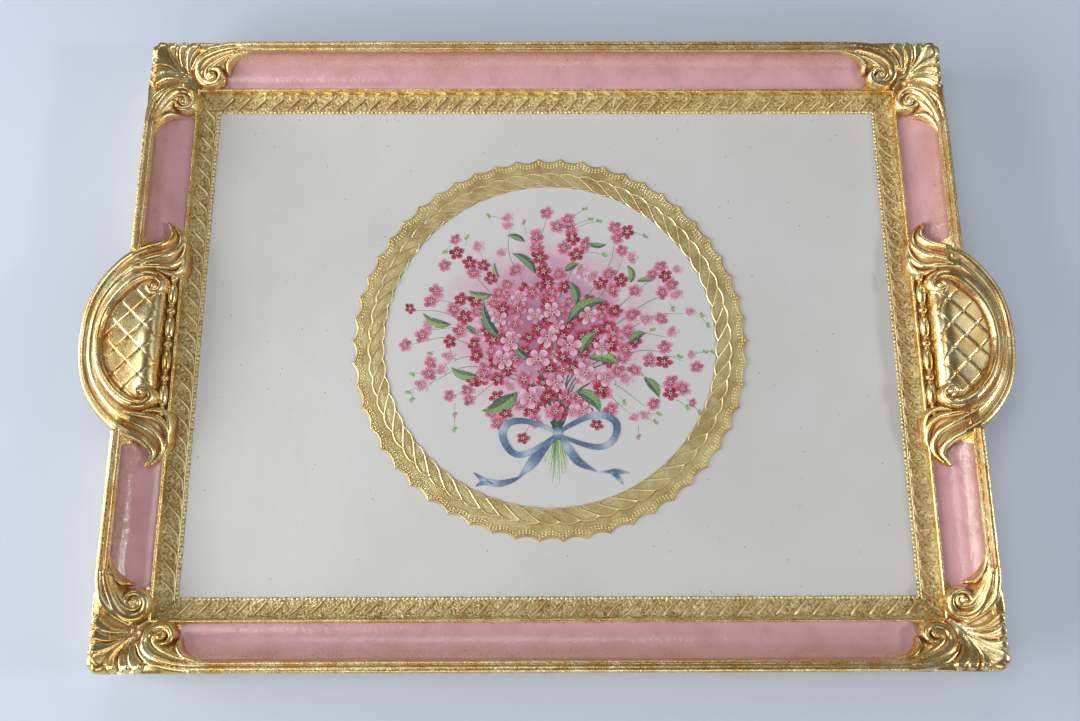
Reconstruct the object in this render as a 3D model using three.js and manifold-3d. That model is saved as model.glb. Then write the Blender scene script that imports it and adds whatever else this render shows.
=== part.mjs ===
// A gilded and lacquered wooden serving tray: four mitred rails round a plywood base, a carved handle on
// each short rail, cast acanthus ornaments on the corners, and a raised gesso border and medallion.
// Millimetres, +Z up. The origin is on the resting plane, under the middle of the tray.
import * as THREE from "three";
import { mergeVertices } from "three/addons/utils/BufferGeometryUtils.js";
import Module from "manifold-3d";

const wasm = await Module();
wasm.setup();

// ---- Driving dimensions -------------------------------------------------------------------------------
const FRAME_LENGTH = 440; // outer edge to outer edge of the short rails, along X
const FRAME_DEPTH = 336; // outer edge to outer edge of the long rails, along Y
const RAIL_WIDTH = 24.7;
const BASE_BOTTOM = 3;
const BASE_TOP = 9;
const REBATE = 17; // how far in from the outer edge the rebate for the base starts
const GAP = 0.3; // clearance between fitted pieces
const BORDER_WIDTH = 10.3;
const BORDER_HEIGHT = 1;
const MEDALLION_POINT = 106; // radius at the outer edge's points
const MEDALLION_HOLLOW = 104.4; // radius at the hollows between them
const MEDALLION_INNER = 89;
const MEDALLION_SCALLOPS = 55;
const MEDALLION_CENTRE = [1.4, -0.6];
const PRINT_RADIUS = 88;
const PRINT_THICKNESS = 0.5;
const HANDLE_CENTRE_X = 203; // centre of the handle's elliptical outline
const HANDLE_SEMI_X = 41;
const HANDLE_SEMI_Y = 50;
const HANDLE_BOTTOM = 9;
const HANDLE_RIM_Z = 25.5;
const SCREW_PLACES = [-20, 20]; // along Y, on each short rail
const SCREW_INSET = 8; // in from the outer edge
const HANDLE_SEAT = 18.4; // height of the flat seat cut in each short rail for its handle
const HANDLE_TIP_X = 250; // beyond the tip of the handle, for the shapes that cut it
const PIN_INSET = 20.5;
const PIN_TOP = 13; // height of the pins' points, in the rail above the base
const SCREW_HEAD_TOP = 0.6; // how far each screw head is sunk into the rail's underside
const SCREW_TIP = 22;

// ---- Finishes -----------------------------------------------------------------------------------------
const finish = (color, roughness, metalness) =>
  new THREE.MeshStandardMaterial({ color, roughness, metalness });
const GOLD = finish(0xc9a24e, 0.35, 1);
const GOLD_RELIEF = finish(0xb8954a, 0.45, 1);
const ROSE_GILT = finish(0xd9a5a0, 0.3, 0);
const CREAM = finish(0xd8d4cc, 0.4, 0);
const PAPER = finish(0xdedada, 0.45, 0);
const STEEL = finish(0x77746e, 0.5, 1);

// ---- Solids -------------------------------------------------------------------------------------------
const tray = new THREE.Group();

// A closed three.js geometry, moved by a matrix, as a manifold-3d solid.
function solid(geometry, matrix = new THREE.Matrix4()) {
  const plain = geometry.index ? geometry.toNonIndexed() : geometry.clone();
  plain.deleteAttribute("normal");
  plain.deleteAttribute("uv");
  plain.applyMatrix4(matrix);
  const merged = mergeVertices(plain, 1e-4);
  const triVerts = new Uint32Array(merged.index.array);
  if (matrix.determinant() < 0) triVerts.reverse();
  return new wasm.Manifold(
    new wasm.Mesh({ numProp: 3, vertProperties: merged.attributes.position.array, triVerts }),
  );
}

// A manifold-3d solid as a three.js geometry.
function geometryOf(made) {
  const { numProp, numVert, vertProperties, triVerts } = made.getMesh();
  const points = new Float32Array(numVert * 3);
  for (let i = 0; i < numVert; i++) {
    points.set(vertProperties.subarray(i * numProp, i * numProp + 3), i * 3);
  }
  const geometry = new THREE.BufferGeometry();
  geometry.setAttribute("position", new THREE.BufferAttribute(points, 3));
  geometry.setIndex(new THREE.BufferAttribute(triVerts, 1));
  geometry.computeVertexNormals();
  return geometry;
}

function addPiece(name, geometry, material) {
  const mesh = new THREE.Mesh(geometry, material);
  mesh.name = name;
  tray.add(mesh);
  return mesh;
}

const union = (solids) => solids.reduce((all, one) => all.add(one));

function place(x, y, z, turnZ = 0, scale = [1, 1, 1]) {
  return new THREE.Matrix4().compose(
    new THREE.Vector3(x, y, z),
    new THREE.Quaternion().setFromAxisAngle(new THREE.Vector3(0, 0, 1), turnZ),
    new THREE.Vector3(...scale),
  );
}

const mirrored = (signX, signY) => new THREE.Matrix4().makeScale(signX, signY, 1);

const circle = (radius) => new THREE.Shape().absarc(0, 0, radius, 0, 2 * Math.PI, false);

// ---- Rails --------------------------------------------------------------------------------------------
// The rail's section: across is the distance in from the tray's outer edge, up is height. A bead and a
// groove run along the outer edge, then a cove falls to a small rounded lip above the base. With grow, the
// outline moves out by a clearance, for cutting what fits over the rail.
const FOOT_INSET = 2.5; // the outer face leans in towards the foot
const LIP_TOP = 15.9;
const BEAD_TOP = 28.6;

function railSection(grow = 0) {
  const lipTop = LIP_TOP + grow;
  const beadTop = BEAD_TOP + grow;
  const innerFace = RAIL_WIDTH + grow;
  const section = new THREE.Shape();
  section.moveTo(FOOT_INSET, 0);
  section.lineTo(REBATE, 0);
  section.lineTo(REBATE, BASE_TOP);
  section.lineTo(innerFace, BASE_TOP);
  section.lineTo(innerFace, 14.6 + grow);
  section.quadraticCurveTo(24.6 + grow, lipTop, 23.8, lipTop);
  section.quadraticCurveTo(23.1, lipTop, 22.8, lipTop - 1);
  section.bezierCurveTo(16.5, 14.2 + grow, 9.6, 17.8 + grow, 5.7, 26.1 + grow);
  section.lineTo(5.4, 27 + grow);
  section.quadraticCurveTo(5, beadTop, 3.8, beadTop);
  section.quadraticCurveTo(2.9, beadTop - 0.2, 2.5, beadTop - 1);
  section.lineTo(1.3, beadTop - 1.1);
  section.quadraticCurveTo(-grow, beadTop - 1.2, -grow, 26);
  section.lineTo(-grow, 17);
  section.lineTo(FOOT_INSET - grow, 1.5);
  section.lineTo(FOOT_INSET, 0);
  return section;
}

// Extrudes the section to unit length and slides each end point in by its own distance from the edge,
// which mitres both ends. The rail runs along X on the front side; half is half its outer length.
function mitredRail(section, half, reach) {
  const rail = new THREE.ExtrudeGeometry(section, { depth: 1, bevelEnabled: false, curveSegments: 4 });
  const points = rail.attributes.position;
  for (let i = 0; i < points.count; i++) {
    const across = points.getX(i);
    const up = points.getY(i);
    const end = points.getZ(i) < 0.5 ? -1 : 1;
    points.setXYZ(i, end * (half - across), across - reach, up);
  }
  return facingOut(rail.index ? rail.toNonIndexed() : rail);
}

// Reverses every triangle if they face in: the volume they enclose is then negative.
function facingOut(geometry) {
  const corners = geometry.attributes.position.array;
  const corner = (at) => new THREE.Vector3().fromArray(corners, at);
  let volume = 0;
  for (let i = 0; i < corners.length; i += 9) volume += corner(i).dot(corner(i + 3).cross(corner(i + 6)));
  if (volume < 0)
    for (let i = 0; i < corners.length; i += 9) {
      const second = corner(i + 3);
      corner(i + 6).toArray(corners, i + 3);
      second.toArray(corners, i + 6);
    }
  return geometry;
}

const quarter = Math.PI / 2;
const RAIL_SIDES = {
  front: { half: FRAME_LENGTH / 2, reach: FRAME_DEPTH / 2, turn: 0 },
  right: { half: FRAME_DEPTH / 2, reach: FRAME_LENGTH / 2, turn: quarter },
  back: { half: FRAME_LENGTH / 2, reach: FRAME_DEPTH / 2, turn: 2 * quarter },
  left: { half: FRAME_DEPTH / 2, reach: FRAME_LENGTH / 2, turn: 3 * quarter },
};

const railSolid = ({ half, reach, turn }, grow) =>
  solid(mitredRail(railSection(grow), half, reach), place(0, 0, 0, turn));

// ---- Handle outline ------------------------------------------------------------------------------------
// Drawn for the right side. A D-shaped ear stands out from the short rail, and a leaf runs from each end of
// it along the cove. The rail has a flat seat of the same outline for it.
const STRIP_INNER = 196.6;
const STRIP_OUTER = 201.4;

const EAR_SWEEP = 1.05; // half the angle of the ellipse that the ear's outer edge follows, in radians

function handleOutline() {
  const outline = new THREE.Shape();
  const inner = STRIP_OUTER + GAP;
  outline.moveTo(inner, -52);
  outline.bezierCurveTo(inner, -62, 203, -68, 209, -70.5);
  outline.bezierCurveTo(206, -64, 207, -57, 213, -52);
  outline.bezierCurveTo(217, -49.5, 220, -48, 223, -44);
  outline.absellipse(HANDLE_CENTRE_X, 0, HANDLE_SEMI_X, HANDLE_SEMI_Y, -EAR_SWEEP, EAR_SWEEP, false, 0);
  outline.bezierCurveTo(219, 48.5, 216, 50, 213, 51);
  outline.bezierCurveTo(207, 54, 206, 59, 208.5, 64);
  outline.bezierCurveTo(203, 63, inner, 58, inner, 48);
  return outline;
}

// A tall prism of the handle's outline above a height. Moved a clearance each way, it cuts a wider seat.
function outlinePrism(bottom, clearance = 0) {
  const tall = { depth: 60, bevelEnabled: false, curveSegments: 7 };
  const prism = new THREE.ExtrudeGeometry(handleOutline(), tall);
  const moves = clearance ? [[0, 0], [1, 1], [1, -1], [-1, 1], [-1, -1]] : [[0, 0]];
  return union(moves.map(([dx, dy]) => solid(prism, place(dx * clearance, dy * clearance, bottom))));
}

// ---- Fasteners ----------------------------------------------------------------------------------------
// A V-nail is a folded steel strip pressed in from below across a mitre. Grow turns it into its own slot.
const NAIL_LEG = 5;
const NAIL_THICKNESS = 0.9;
const NAIL_DEPTH = 9;

function vNail(grow = 0) {
  const depth = NAIL_DEPTH + grow;
  const arm = (turn) =>
    solid(
      new THREE.BoxGeometry(NAIL_LEG + grow, NAIL_THICKNESS + 2 * grow, depth),
      place(0, 0, depth / 2, turn).multiply(place(NAIL_LEG / 2, 0, 0)),
    );
  return arm(Math.PI / 4).add(arm(-Math.PI / 4));
}

const lathe = (profile, sides) =>
  new THREE.LatheGeometry(profile.map(([r, z]) => new THREE.Vector2(r, z)), sides).rotateX(quarter);

const pinProfile = (grow, top) => [
  [0, BASE_BOTTOM],
  [1 + grow, BASE_BOTTOM],
  [1 + grow, BASE_BOTTOM + 0.7 + grow],
  [0.5 + grow, BASE_BOTTOM + 1 + grow],
  [0.5 + grow, top - 1],
  [0, top],
];

// A countersunk head with a straight shank that tapers to a point.
const SCREW_HEAD_RADIUS = 3.4;
const SCREW_RADIUS = 1.6;
const screwProfile = (grow) => [
  [0, SCREW_HEAD_TOP - 2 * grow],
  [SCREW_HEAD_RADIUS + grow, SCREW_HEAD_TOP - 2 * grow],
  [SCREW_HEAD_RADIUS + grow, SCREW_HEAD_TOP + grow],
  [SCREW_RADIUS + grow, SCREW_HEAD_TOP + 2.8 + grow],
  [SCREW_RADIUS + grow, SCREW_TIP - 3.2],
  [SCREW_RADIUS - 0.5 + grow, SCREW_TIP - 1.2],
  [0, SCREW_TIP + grow],
];

const corners = [
  ["front_left", -1, -1],
  ["front_right", 1, -1],
  ["back_right", 1, 1],
  ["back_left", -1, 1],
];

const nailPlaces = corners.flatMap(([where, sx, sy]) =>
  [["outer", 6.5], ["inner", 13]].map(([which, inset]) => ({
    name: `v_nail_${where}_${which}`,
    matrix: place(sx * (FRAME_LENGTH / 2 - inset), sy * (FRAME_DEPTH / 2 - inset), 0, Math.atan2(-sy, -sx)),
  })),
);

const longPins = [-150, -50, 50, 150];
const shortPins = [-95, 0, 95];
const pinPlaces = [
  ...longPins.flatMap((x, i) => [
    { name: `panel_pin_front_${i + 1}`, x, y: PIN_INSET - FRAME_DEPTH / 2 },
    { name: `panel_pin_back_${i + 1}`, x, y: FRAME_DEPTH / 2 - PIN_INSET },
  ]),
  ...shortPins.flatMap((y, i) => [
    { name: `panel_pin_left_${i + 1}`, x: PIN_INSET - FRAME_LENGTH / 2, y },
    { name: `panel_pin_right_${i + 1}`, x: FRAME_LENGTH / 2 - PIN_INSET, y },
  ]),
];

const screwPlaces = [["left", -1], ["right", 1]].flatMap(([side, sx]) =>
  SCREW_PLACES.map((y) => ({
    name: `handle_screw_${side}_${y < 0 ? "front" : "back"}`,
    x: sx * (FRAME_LENGTH / 2 - SCREW_INSET),
    y,
  })),
);

const PIN_SIDES = 8;
const SCREW_SIDES = 14;
const at = (profile, sides, { x, y }) => solid(lathe(profile, sides), place(x, y, 0));
const pinBores = pinPlaces.map((p) => at(pinProfile(GAP / 3, PIN_TOP + 0.4), PIN_SIDES, p));
const screwBores = screwPlaces.map((p) => at(screwProfile(GAP), SCREW_SIDES, p));
const nailSlots = nailPlaces.map(({ matrix }) => solid(geometryOf(vNail(GAP)), matrix));
const seat = outlinePrism(HANDLE_SEAT, GAP);
const seats = [seat, solid(geometryOf(seat), mirrored(-1, 1))];
const allBores = union([...screwBores, ...nailSlots, ...pinBores, ...seats]);

for (const [side, where] of Object.entries(RAIL_SIDES))
  addPiece(`rail_${side}`, geometryOf(railSolid(where, 0).subtract(allBores)), ROSE_GILT);

for (const { name, matrix } of nailPlaces)
  addPiece(name, geometryOf(solid(geometryOf(vNail()), matrix)), STEEL);
for (const p of pinPlaces) addPiece(p.name, geometryOf(at(pinProfile(0, PIN_TOP), PIN_SIDES, p)), STEEL);
for (const p of screwPlaces) {
  const slot = solid(new THREE.BoxGeometry(8, 1, 1.6), place(p.x, p.y, SCREW_HEAD_TOP));
  addPiece(p.name, geometryOf(at(screwProfile(0), SCREW_SIDES, p).subtract(slot)), STEEL);
}

// ---- Base ---------------------------------------------------------------------------------------------
const baseBoard = new THREE.BoxGeometry(
  FRAME_LENGTH - 2 * (REBATE + GAP),
  FRAME_DEPTH - 2 * (REBATE + GAP),
  BASE_TOP - BASE_BOTTOM,
);
const basePlace = place(0, 0, (BASE_TOP + BASE_BOTTOM) / 2);
addPiece("base_panel", geometryOf(solid(baseBoard, basePlace).subtract(union(pinBores))), CREAM);

// ---- Raised border on the base -------------------------------------------------------------------------
function borderSection() {
  const section = new THREE.Shape();
  const outer = RAIL_WIDTH + GAP;
  const inner = outer + BORDER_WIDTH;
  const top = BASE_TOP + BORDER_HEIGHT;
  section.moveTo(outer, BASE_TOP);
  section.lineTo(inner, BASE_TOP);
  section.quadraticCurveTo(inner, top, inner - 1.2, top);
  section.lineTo(outer, top);
  return section;
}

for (const [side, { half, reach, turn }] of Object.entries(RAIL_SIDES))
  addPiece(
    `border_${side}`,
    geometryOf(solid(mitredRail(borderSection(), half, reach), place(0, 0, 0, turn))),
    GOLD_RELIEF,
  );

// ---- Medallion ----------------------------------------------------------------------------------------
// The ring's outer edge is a chain of shallow hollows that meet in points.
function medallionRing() {
  const outline = new THREE.Shape();
  const step = Math.PI / MEDALLION_SCALLOPS; // from a point to the next hollow
  outline.moveTo(MEDALLION_POINT, 0);
  for (let k = 1; k < 2 * MEDALLION_SCALLOPS; k++) {
    const radius = k % 2 ? MEDALLION_HOLLOW : MEDALLION_POINT;
    outline.lineTo(radius * Math.cos(k * step), radius * Math.sin(k * step));
  }
  const hole = new THREE.Path();
  hole.absarc(0, 0, MEDALLION_INNER, 0, 2 * Math.PI, true);
  outline.holes.push(hole);
  const flat = { depth: BORDER_HEIGHT, bevelEnabled: false, curveSegments: 36 };
  return new THREE.ExtrudeGeometry(outline, flat);
}

const medallionPlace = place(...MEDALLION_CENTRE, BASE_TOP);
addPiece("medallion_ring", geometryOf(solid(medallionRing(), medallionPlace)), GOLD_RELIEF);
const print = new THREE.CylinderGeometry(PRINT_RADIUS, PRINT_RADIUS, PRINT_THICKNESS, 48).rotateX(quarter);
addPiece(
  "bouquet_print",
  geometryOf(solid(print, place(...MEDALLION_CENTRE, BASE_TOP + PRINT_THICKNESS / 2))),
  PAPER,
);

// ---- What the applied ornaments are cut by --------------------------------------------------------------
const frameCutter = union(Object.values(RAIL_SIDES).map((where) => railSolid(where, GAP)));
const cutByFrame = (made, matrix) => solid(geometryOf(made), matrix).subtract(frameCutter);

// The largest separate body: trimming a casting to the rails can leave crumbs on the far side.
const largest = (made) => made.decompose().sort((a, b) => b.volume() - a.volume())[0];

// ---- Corner ornaments ---------------------------------------------------------------------------------
// A fan of leaf lobes that spreads to the tray's corner, between two volutes. u and v are distances in from
// the two outer edges, and every shape is mirrored across the diagonal.
const LEAF_CENTRE = 20;
const LEAVES = [
  // turn from the diagonal in degrees, length, half width, height of the lobe's middle
  [0, 22, 6.2, 25.2],
  [31, 21, 3.6, 25.0],
  [55, 21, 3.6, 24.4],
  [76, 22, 3.4, 23.6],
];
const LOBE_HALF_HEIGHT = 4.6;
const LOBE_TILT = 0.3; // radians, falling towards the tray's corner
const VOLUTE = { u: 17.5, v: 32.5, radius: 7.8, top: 21.5 };
const VOLUTE_EYE = 2.6;
const SCROLL_RADIUS = 2.3; // of the round band that runs into each volute
const FAN_HEART = { inset: 19, height: 20, size: [11, 11, 4.5] }; // the dome that the lobes spring from
const SCROLL_BAND = [
  [2.6, 50, 27.2],
  [4.4, 42, 26.6],
  [8.0, 34, 24.6],
  [13.5, 27, 21.8],
  [19, 24.6, 19.8],
];

function leafLobe([turn, length, halfWidth, middle], flip) {
  const angle = Math.PI + Math.PI / 4 + flip * THREE.MathUtils.degToRad(turn);
  const half = length / 2;
  const centre = [LEAF_CENTRE + half * Math.cos(angle), LEAF_CENTRE + half * Math.sin(angle)];
  const placed = place(...centre, middle, angle)
    .multiply(new THREE.Matrix4().makeRotationY(-LOBE_TILT))
    .multiply(new THREE.Matrix4().makeScale(half + 1, halfWidth, LOBE_HALF_HEIGHT));
  return solid(new THREE.SphereGeometry(1, 7, 5), placed);
}

function cornerCasting() {
  const parts = [];
  for (const flip of [-1, 1]) {
    for (const leaf of LEAVES) if (leaf[0] > 0 || flip > 0) parts.push(leafLobe(leaf, flip));
    const swap = (u, v) => (flip > 0 ? [u, v] : [v, u]);
    const disc = new THREE.CylinderGeometry(VOLUTE.radius - 1.6, VOLUTE.radius, 8, 12).rotateX(quarter);
    parts.push(solid(disc, place(...swap(VOLUTE.u, VOLUTE.v), VOLUTE.top - 4)));
    const eye = new THREE.SphereGeometry(VOLUTE_EYE, 6, 4);
    parts.push(solid(eye, place(...swap(VOLUTE.u, VOLUTE.v), VOLUTE.top)));
    const route = SCROLL_BAND.map(([u, v, z]) => new THREE.Vector3(...swap(u, v), z));
    const extrudePath = new THREE.CatmullRomCurve3(route);
    const band = { extrudePath, steps: 5, curveSegments: 3 };
    parts.push(solid(new THREE.ExtrudeGeometry(circle(SCROLL_RADIUS), band)));
  }
  const { inset, height, size } = FAN_HEART;
  parts.push(solid(new THREE.SphereGeometry(1, 8, 6), place(inset, inset, height, 0, size)));
  return union(parts);
}

const casting = cornerCasting();
for (const [where, sx, sy] of corners) {
  const toCorner = new THREE.Matrix4()
    .makeTranslation((sx * FRAME_LENGTH) / 2, (sy * FRAME_DEPTH) / 2, 0)
    .multiply(mirrored(-sx, -sy));
  addPiece(`corner_ornament_${where}`, geometryOf(largest(cutByFrame(casting, toCorner))), GOLD);
}

// ---- Handles ------------------------------------------------------------------------------------------
function handleEar() {
  const depth = HANDLE_RIM_Z - HANDLE_BOTTOM;
  const plate = solid(
    new THREE.ExtrudeGeometry(handleOutline(), { depth, bevelEnabled: false, curveSegments: 7 }),
    place(0, 0, HANDLE_BOTTOM),
  );
  // The underside rises towards the tip, which leaves room for the fingers.
  const hollow = new THREE.Shape();
  hollow.moveTo(FRAME_LENGTH / 2 + 3, -1);
  hollow.lineTo(FRAME_LENGTH / 2 + 3, HANDLE_BOTTOM);
  hollow.bezierCurveTo(226, 15, 232, 17.5, HANDLE_TIP_X, 18.5);
  hollow.lineTo(HANDLE_TIP_X, -1);
  const long = { depth: 130, bevelEnabled: false, curveSegments: 4 };
  const underside = new THREE.ExtrudeGeometry(hollow, long);
  // Over the rail the ear thins to a leaf that follows the cove.
  const relief = new THREE.Shape();
  relief.moveTo(190, 20.5);
  relief.lineTo(200, 20.5);
  relief.quadraticCurveTo(208, 21.5, 214, HANDLE_RIM_Z + 0.5);
  relief.lineTo(190, HANDLE_RIM_Z + 0.5);
  const overRail = new THREE.ExtrudeGeometry(relief, { depth: 150, bevelEnabled: false, curveSegments: 3 });
  const upright = (g, halfLength) => g.rotateX(quarter).translate(0, halfLength, 0);
  return plate.subtract(solid(upright(underside, 65))).subtract(solid(upright(overRail, 75)));
}

// The rim is one round bar that runs out of one leaf, round the ear and into the other leaf.
const RIM_RADIUS = 3.6;
const RIM_SCROLL = { x: 207, y: 27, drop: 3.5, size: [6, 6, 5] }; // the curl at each end of the ear
const DOME = { x: 217.5, drop: 2.2, size: [17, 32, 4.6] }; // the cushion inside the rim
const RIM_ROUTE = [
  [207.5, 61, 19.5],
  [210, 54, 21.5],
  [216.5, 46.5, 24.6],
  [225, 39.5, HANDLE_RIM_Z],
  [233, 29, HANDLE_RIM_Z],
  [238, 15, HANDLE_RIM_Z],
  [239.9, 0, HANDLE_RIM_Z],
];

function handleRim() {
  const route = [...RIM_ROUTE, ...RIM_ROUTE.slice(0, -1).reverse().map(([x, y, z]) => [x, -y, z])];
  const bar = new THREE.ExtrudeGeometry(circle(RIM_RADIUS), {
    extrudePath: new THREE.CatmullRomCurve3(route.map((p) => new THREE.Vector3(...p))),
    steps: 22,
    curveSegments: 4,
  });
  const { x, y, drop, size } = RIM_SCROLL;
  const scrolls = [-y, y].map((along) =>
    solid(new THREE.SphereGeometry(1, 8, 6), place(x, along, HANDLE_RIM_Z - drop, 0, size)),
  );
  return union([solid(bar), ...scrolls]);
}

function handleSolid() {
  const cushion = place(DOME.x, 0, HANDLE_RIM_Z - DOME.drop, 0, DOME.size);
  const dome = solid(new THREE.SphereGeometry(1, 10, 6), cushion);
  const railBelow = railSolid(RAIL_SIDES.right, GAP).subtract(outlinePrism(HANDLE_SEAT + GAP));
  const whole = union([handleEar(), handleRim(), dome]).intersect(outlinePrism(0));
  return whole.subtract(railBelow).subtract(union(screwBores));
}

const handle = geometryOf(largest(handleSolid()));
addPiece("handle_right", handle, GOLD);
addPiece("handle_left", geometryOf(solid(handle, mirrored(-1, 1))), GOLD);

// ---- Bead-and-reel strips -------------------------------------------------------------------------------
const STRIP_CENTRE = (STRIP_INNER + STRIP_OUTER) / 2;
const STRIP_HALF_WIDTH = (STRIP_OUTER - STRIP_INNER) / 2;
const BEAD_PITCH = 18.2;
const FIRST_BEAD = 32;
const BEADS = 5;
const ROUND_BEAD = [2.1, 2.1, 2.6]; // half sizes across, along and up
const LONG_BEAD = [2.3, 6.3, 2.9];
const STRIP_SEAT = 16.4; // the strip's flat underside, just clear of the rail's lip

function beadStrip() {
  const beadAt = (y, size) =>
    solid(new THREE.SphereGeometry(1, 6, 4), place(STRIP_CENTRE, y, STRIP_SEAT + 0.9, 0, size));
  const length = BEAD_PITCH * (BEADS - 1) + 3;
  const backing = solid(
    new THREE.BoxGeometry(2 * STRIP_HALF_WIDTH - 1, length, 4),
    place(STRIP_CENTRE, FIRST_BEAD + 1.5 - length / 2, STRIP_SEAT),
  );
  const parts = [backing];
  for (let i = 0; i < BEADS; i++) {
    const y = FIRST_BEAD - i * BEAD_PITCH;
    parts.push(beadAt(y, ROUND_BEAD));
    if (i < BEADS - 1) parts.push(beadAt(y - BEAD_PITCH / 2, LONG_BEAD));
  }
  const below = solid(new THREE.BoxGeometry(20, 120, 10), place(STRIP_CENTRE, 0, STRIP_SEAT - 5));
  return union(parts).subtract(below);
}

const strip = geometryOf(beadStrip());
addPiece("bead_strip_right", strip, GOLD);
addPiece("bead_strip_left", geometryOf(solid(strip, mirrored(-1, 1))), GOLD);

export default tray;
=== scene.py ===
"""The looks of a gilded and pink-lacquered wooden tray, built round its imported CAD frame.

Shapes are worked out in millimetres in the frame's own axes: +X right, +Y back, +Z up, with the origin on
the resting plane under the middle of the tray. Carving and gesso relief are height fields that are clipped
where they sink into what they sit on, so each piece is one closed mesh with a true outline.
"""

import math

import bmesh
import bpy
import numpy as np
from mathutils import Matrix, Vector


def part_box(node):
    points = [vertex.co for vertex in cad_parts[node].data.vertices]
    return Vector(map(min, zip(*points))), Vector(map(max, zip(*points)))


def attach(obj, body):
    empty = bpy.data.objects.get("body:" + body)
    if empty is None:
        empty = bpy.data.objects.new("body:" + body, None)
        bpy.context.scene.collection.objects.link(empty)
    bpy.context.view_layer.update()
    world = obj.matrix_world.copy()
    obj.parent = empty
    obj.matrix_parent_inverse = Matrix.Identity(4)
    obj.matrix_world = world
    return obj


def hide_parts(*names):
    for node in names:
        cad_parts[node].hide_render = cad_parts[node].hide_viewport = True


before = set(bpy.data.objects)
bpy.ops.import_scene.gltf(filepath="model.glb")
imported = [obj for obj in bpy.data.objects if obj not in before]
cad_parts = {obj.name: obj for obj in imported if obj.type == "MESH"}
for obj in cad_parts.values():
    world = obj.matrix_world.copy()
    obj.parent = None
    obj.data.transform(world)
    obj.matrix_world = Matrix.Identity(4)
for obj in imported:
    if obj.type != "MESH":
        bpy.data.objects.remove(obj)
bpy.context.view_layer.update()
MM = 0.001
TAU = 2 * math.pi

# ---- Sizes read from the frame ----
HALF_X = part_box("rail_right")[1].x / MM
HALF_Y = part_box("rail_back")[1].y / MM
BOARD_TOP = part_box("base_panel")[1].z / MM
PRINT_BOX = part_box("bouquet_print")
PRINT_TOP = PRINT_BOX[1].z / MM
MEDALLION = [(a + b) / 2 / MM for a, b in zip(PRINT_BOX[0][:2], PRINT_BOX[1][:2])]
RING_POINT = (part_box("medallion_ring")[1].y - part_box("medallion_ring")[0].y) / 2 / MM

# ---- Numbers for the looks ----
SHORT_SIDES = ("left", "right")
SIDE_TURN = {"front": 0, "right": TAU / 4, "back": TAU / 2, "left": 3 * TAU / 4}
COVE_START = 5.4  # distances in from the outer edge
COVE_END = 22.9
LIP_START = 22.6
LIP_OUTER = 24.65
REBATE = 17.0
CORNER_ROUND = 6.0
UNDER_CARVING = 24.6  # height of a rail's outer bead where a carved corner covers it
CARVING_REACH = 47.0  # how far from its end a rail is covered so
PINK_START = 37.2  # distance from the corner along a rail where the pink starts
OFF_THE_COVE = -1.0  # what a rail's "across" value says where there is no cove
HANDLE_MIDDLE = -3.0  # the ears sit a little nearer the front edge
SEAT_HALF = 42.0
SEAT_DEPTH = 12.0
SEAT_TOP = 21.0
HANDLE_GILT = 54.0  # the cove is gilt, not pink, this far from the middle of an ear
ROPE_TURNS = 58
SCALLOPS = 54
BEADS_EACH = 7
STEP = 0.42  # grid step of the carved height fields
ROUTE_REACH = 9.0  # a route has no effect further away than this many half-widths
OUTLINE_HALVINGS = 7  # halvings that find where carving meets the surface under it
EYE_HEIGHT, EYE_DROP = 2.3, 1.1  # of the round eye in the middle of a volute


# ---- Small helpers ----
def smooth(values, low, high):
    """0 below low, 1 above high, with a smooth change between."""
    t = np.clip((np.asarray(values, float) - low) / (high - low), 0, 1)
    return t * t * (3 - 2 * t)


def blend_max(a, b, softness):
    """The larger of two heights, with a small fillet where they cross."""
    h = np.clip(0.5 + 0.5 * (a - b) / softness, 0, 1)
    return b + (a - b) * h + softness * h * (1 - h)


def catmull_rom(points, per_span=7):
    """A smooth curve through the rows of a table; every column is carried along."""
    p = np.asarray(points, float)
    p = np.vstack([2 * p[0] - p[1], p, 2 * p[-1] - p[-2]])
    t = np.linspace(0, 1, per_span, endpoint=False)[:, None]
    spans = []
    for a, b, c, d in zip(p[:-3], p[1:-2], p[2:-1], p[3:]):
        square, cube = 2 * a - 5 * b + 4 * c - d, 3 * b - a - 3 * c + d
        spans.append(0.5 * (2 * b + (c - a) * t + square * t**2 + cube * t**3))
    return np.vstack(spans + [p[-2:-1]])


def near_route(x, y, route):
    """Where points (x, y) lie by a route: distance over half-width, the crest there, and 1 on its left.

    Each row of the route is x, y, half-width, crest.
    """
    best = np.full(x.shape, ROUTE_REACH)
    crest = np.zeros(x.shape)
    side = np.zeros(x.shape)
    for a, b in zip(route[:-1], route[1:]):
        ex, ey = b[0] - a[0], b[1] - a[1]
        long2 = max(ex * ex + ey * ey, 1e-9)
        t = np.clip(((x - a[0]) * ex + (y - a[1]) * ey) / long2, 0, 1)
        dx, dy = x - a[0] - t * ex, y - a[1] - t * ey
        q = np.hypot(dx, dy) / (a[2] + t * (b[2] - a[2]))
        closer = q < best
        best = np.where(closer, q, best)
        crest = np.where(closer, a[3] + t * (b[3] - a[3]), crest)
        side = np.where(closer, np.sign(ex * dy - ey * dx), side)
    return best, crest, side


def ridge(x, y, route, drop, hollow=0.0):
    """Height of a rounded ridge along a route. With hollow it is a spoon: a raised rim round a dip."""
    q, crest, _ = near_route(x, y, route)
    body = crest - drop * (0.35 * q**2 + 0.65 * q**4)
    dip = hollow * np.clip(1 - (q / 0.78) ** 2, 0, 1) ** 1.2
    return body - dip


def boss(x, y, middle, radius):
    """Height of the round eye in the middle of a volute."""
    return EYE_HEIGHT - EYE_DROP * np.hypot(x - middle[0], y - middle[1]) ** 2 / radius**2


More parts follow.
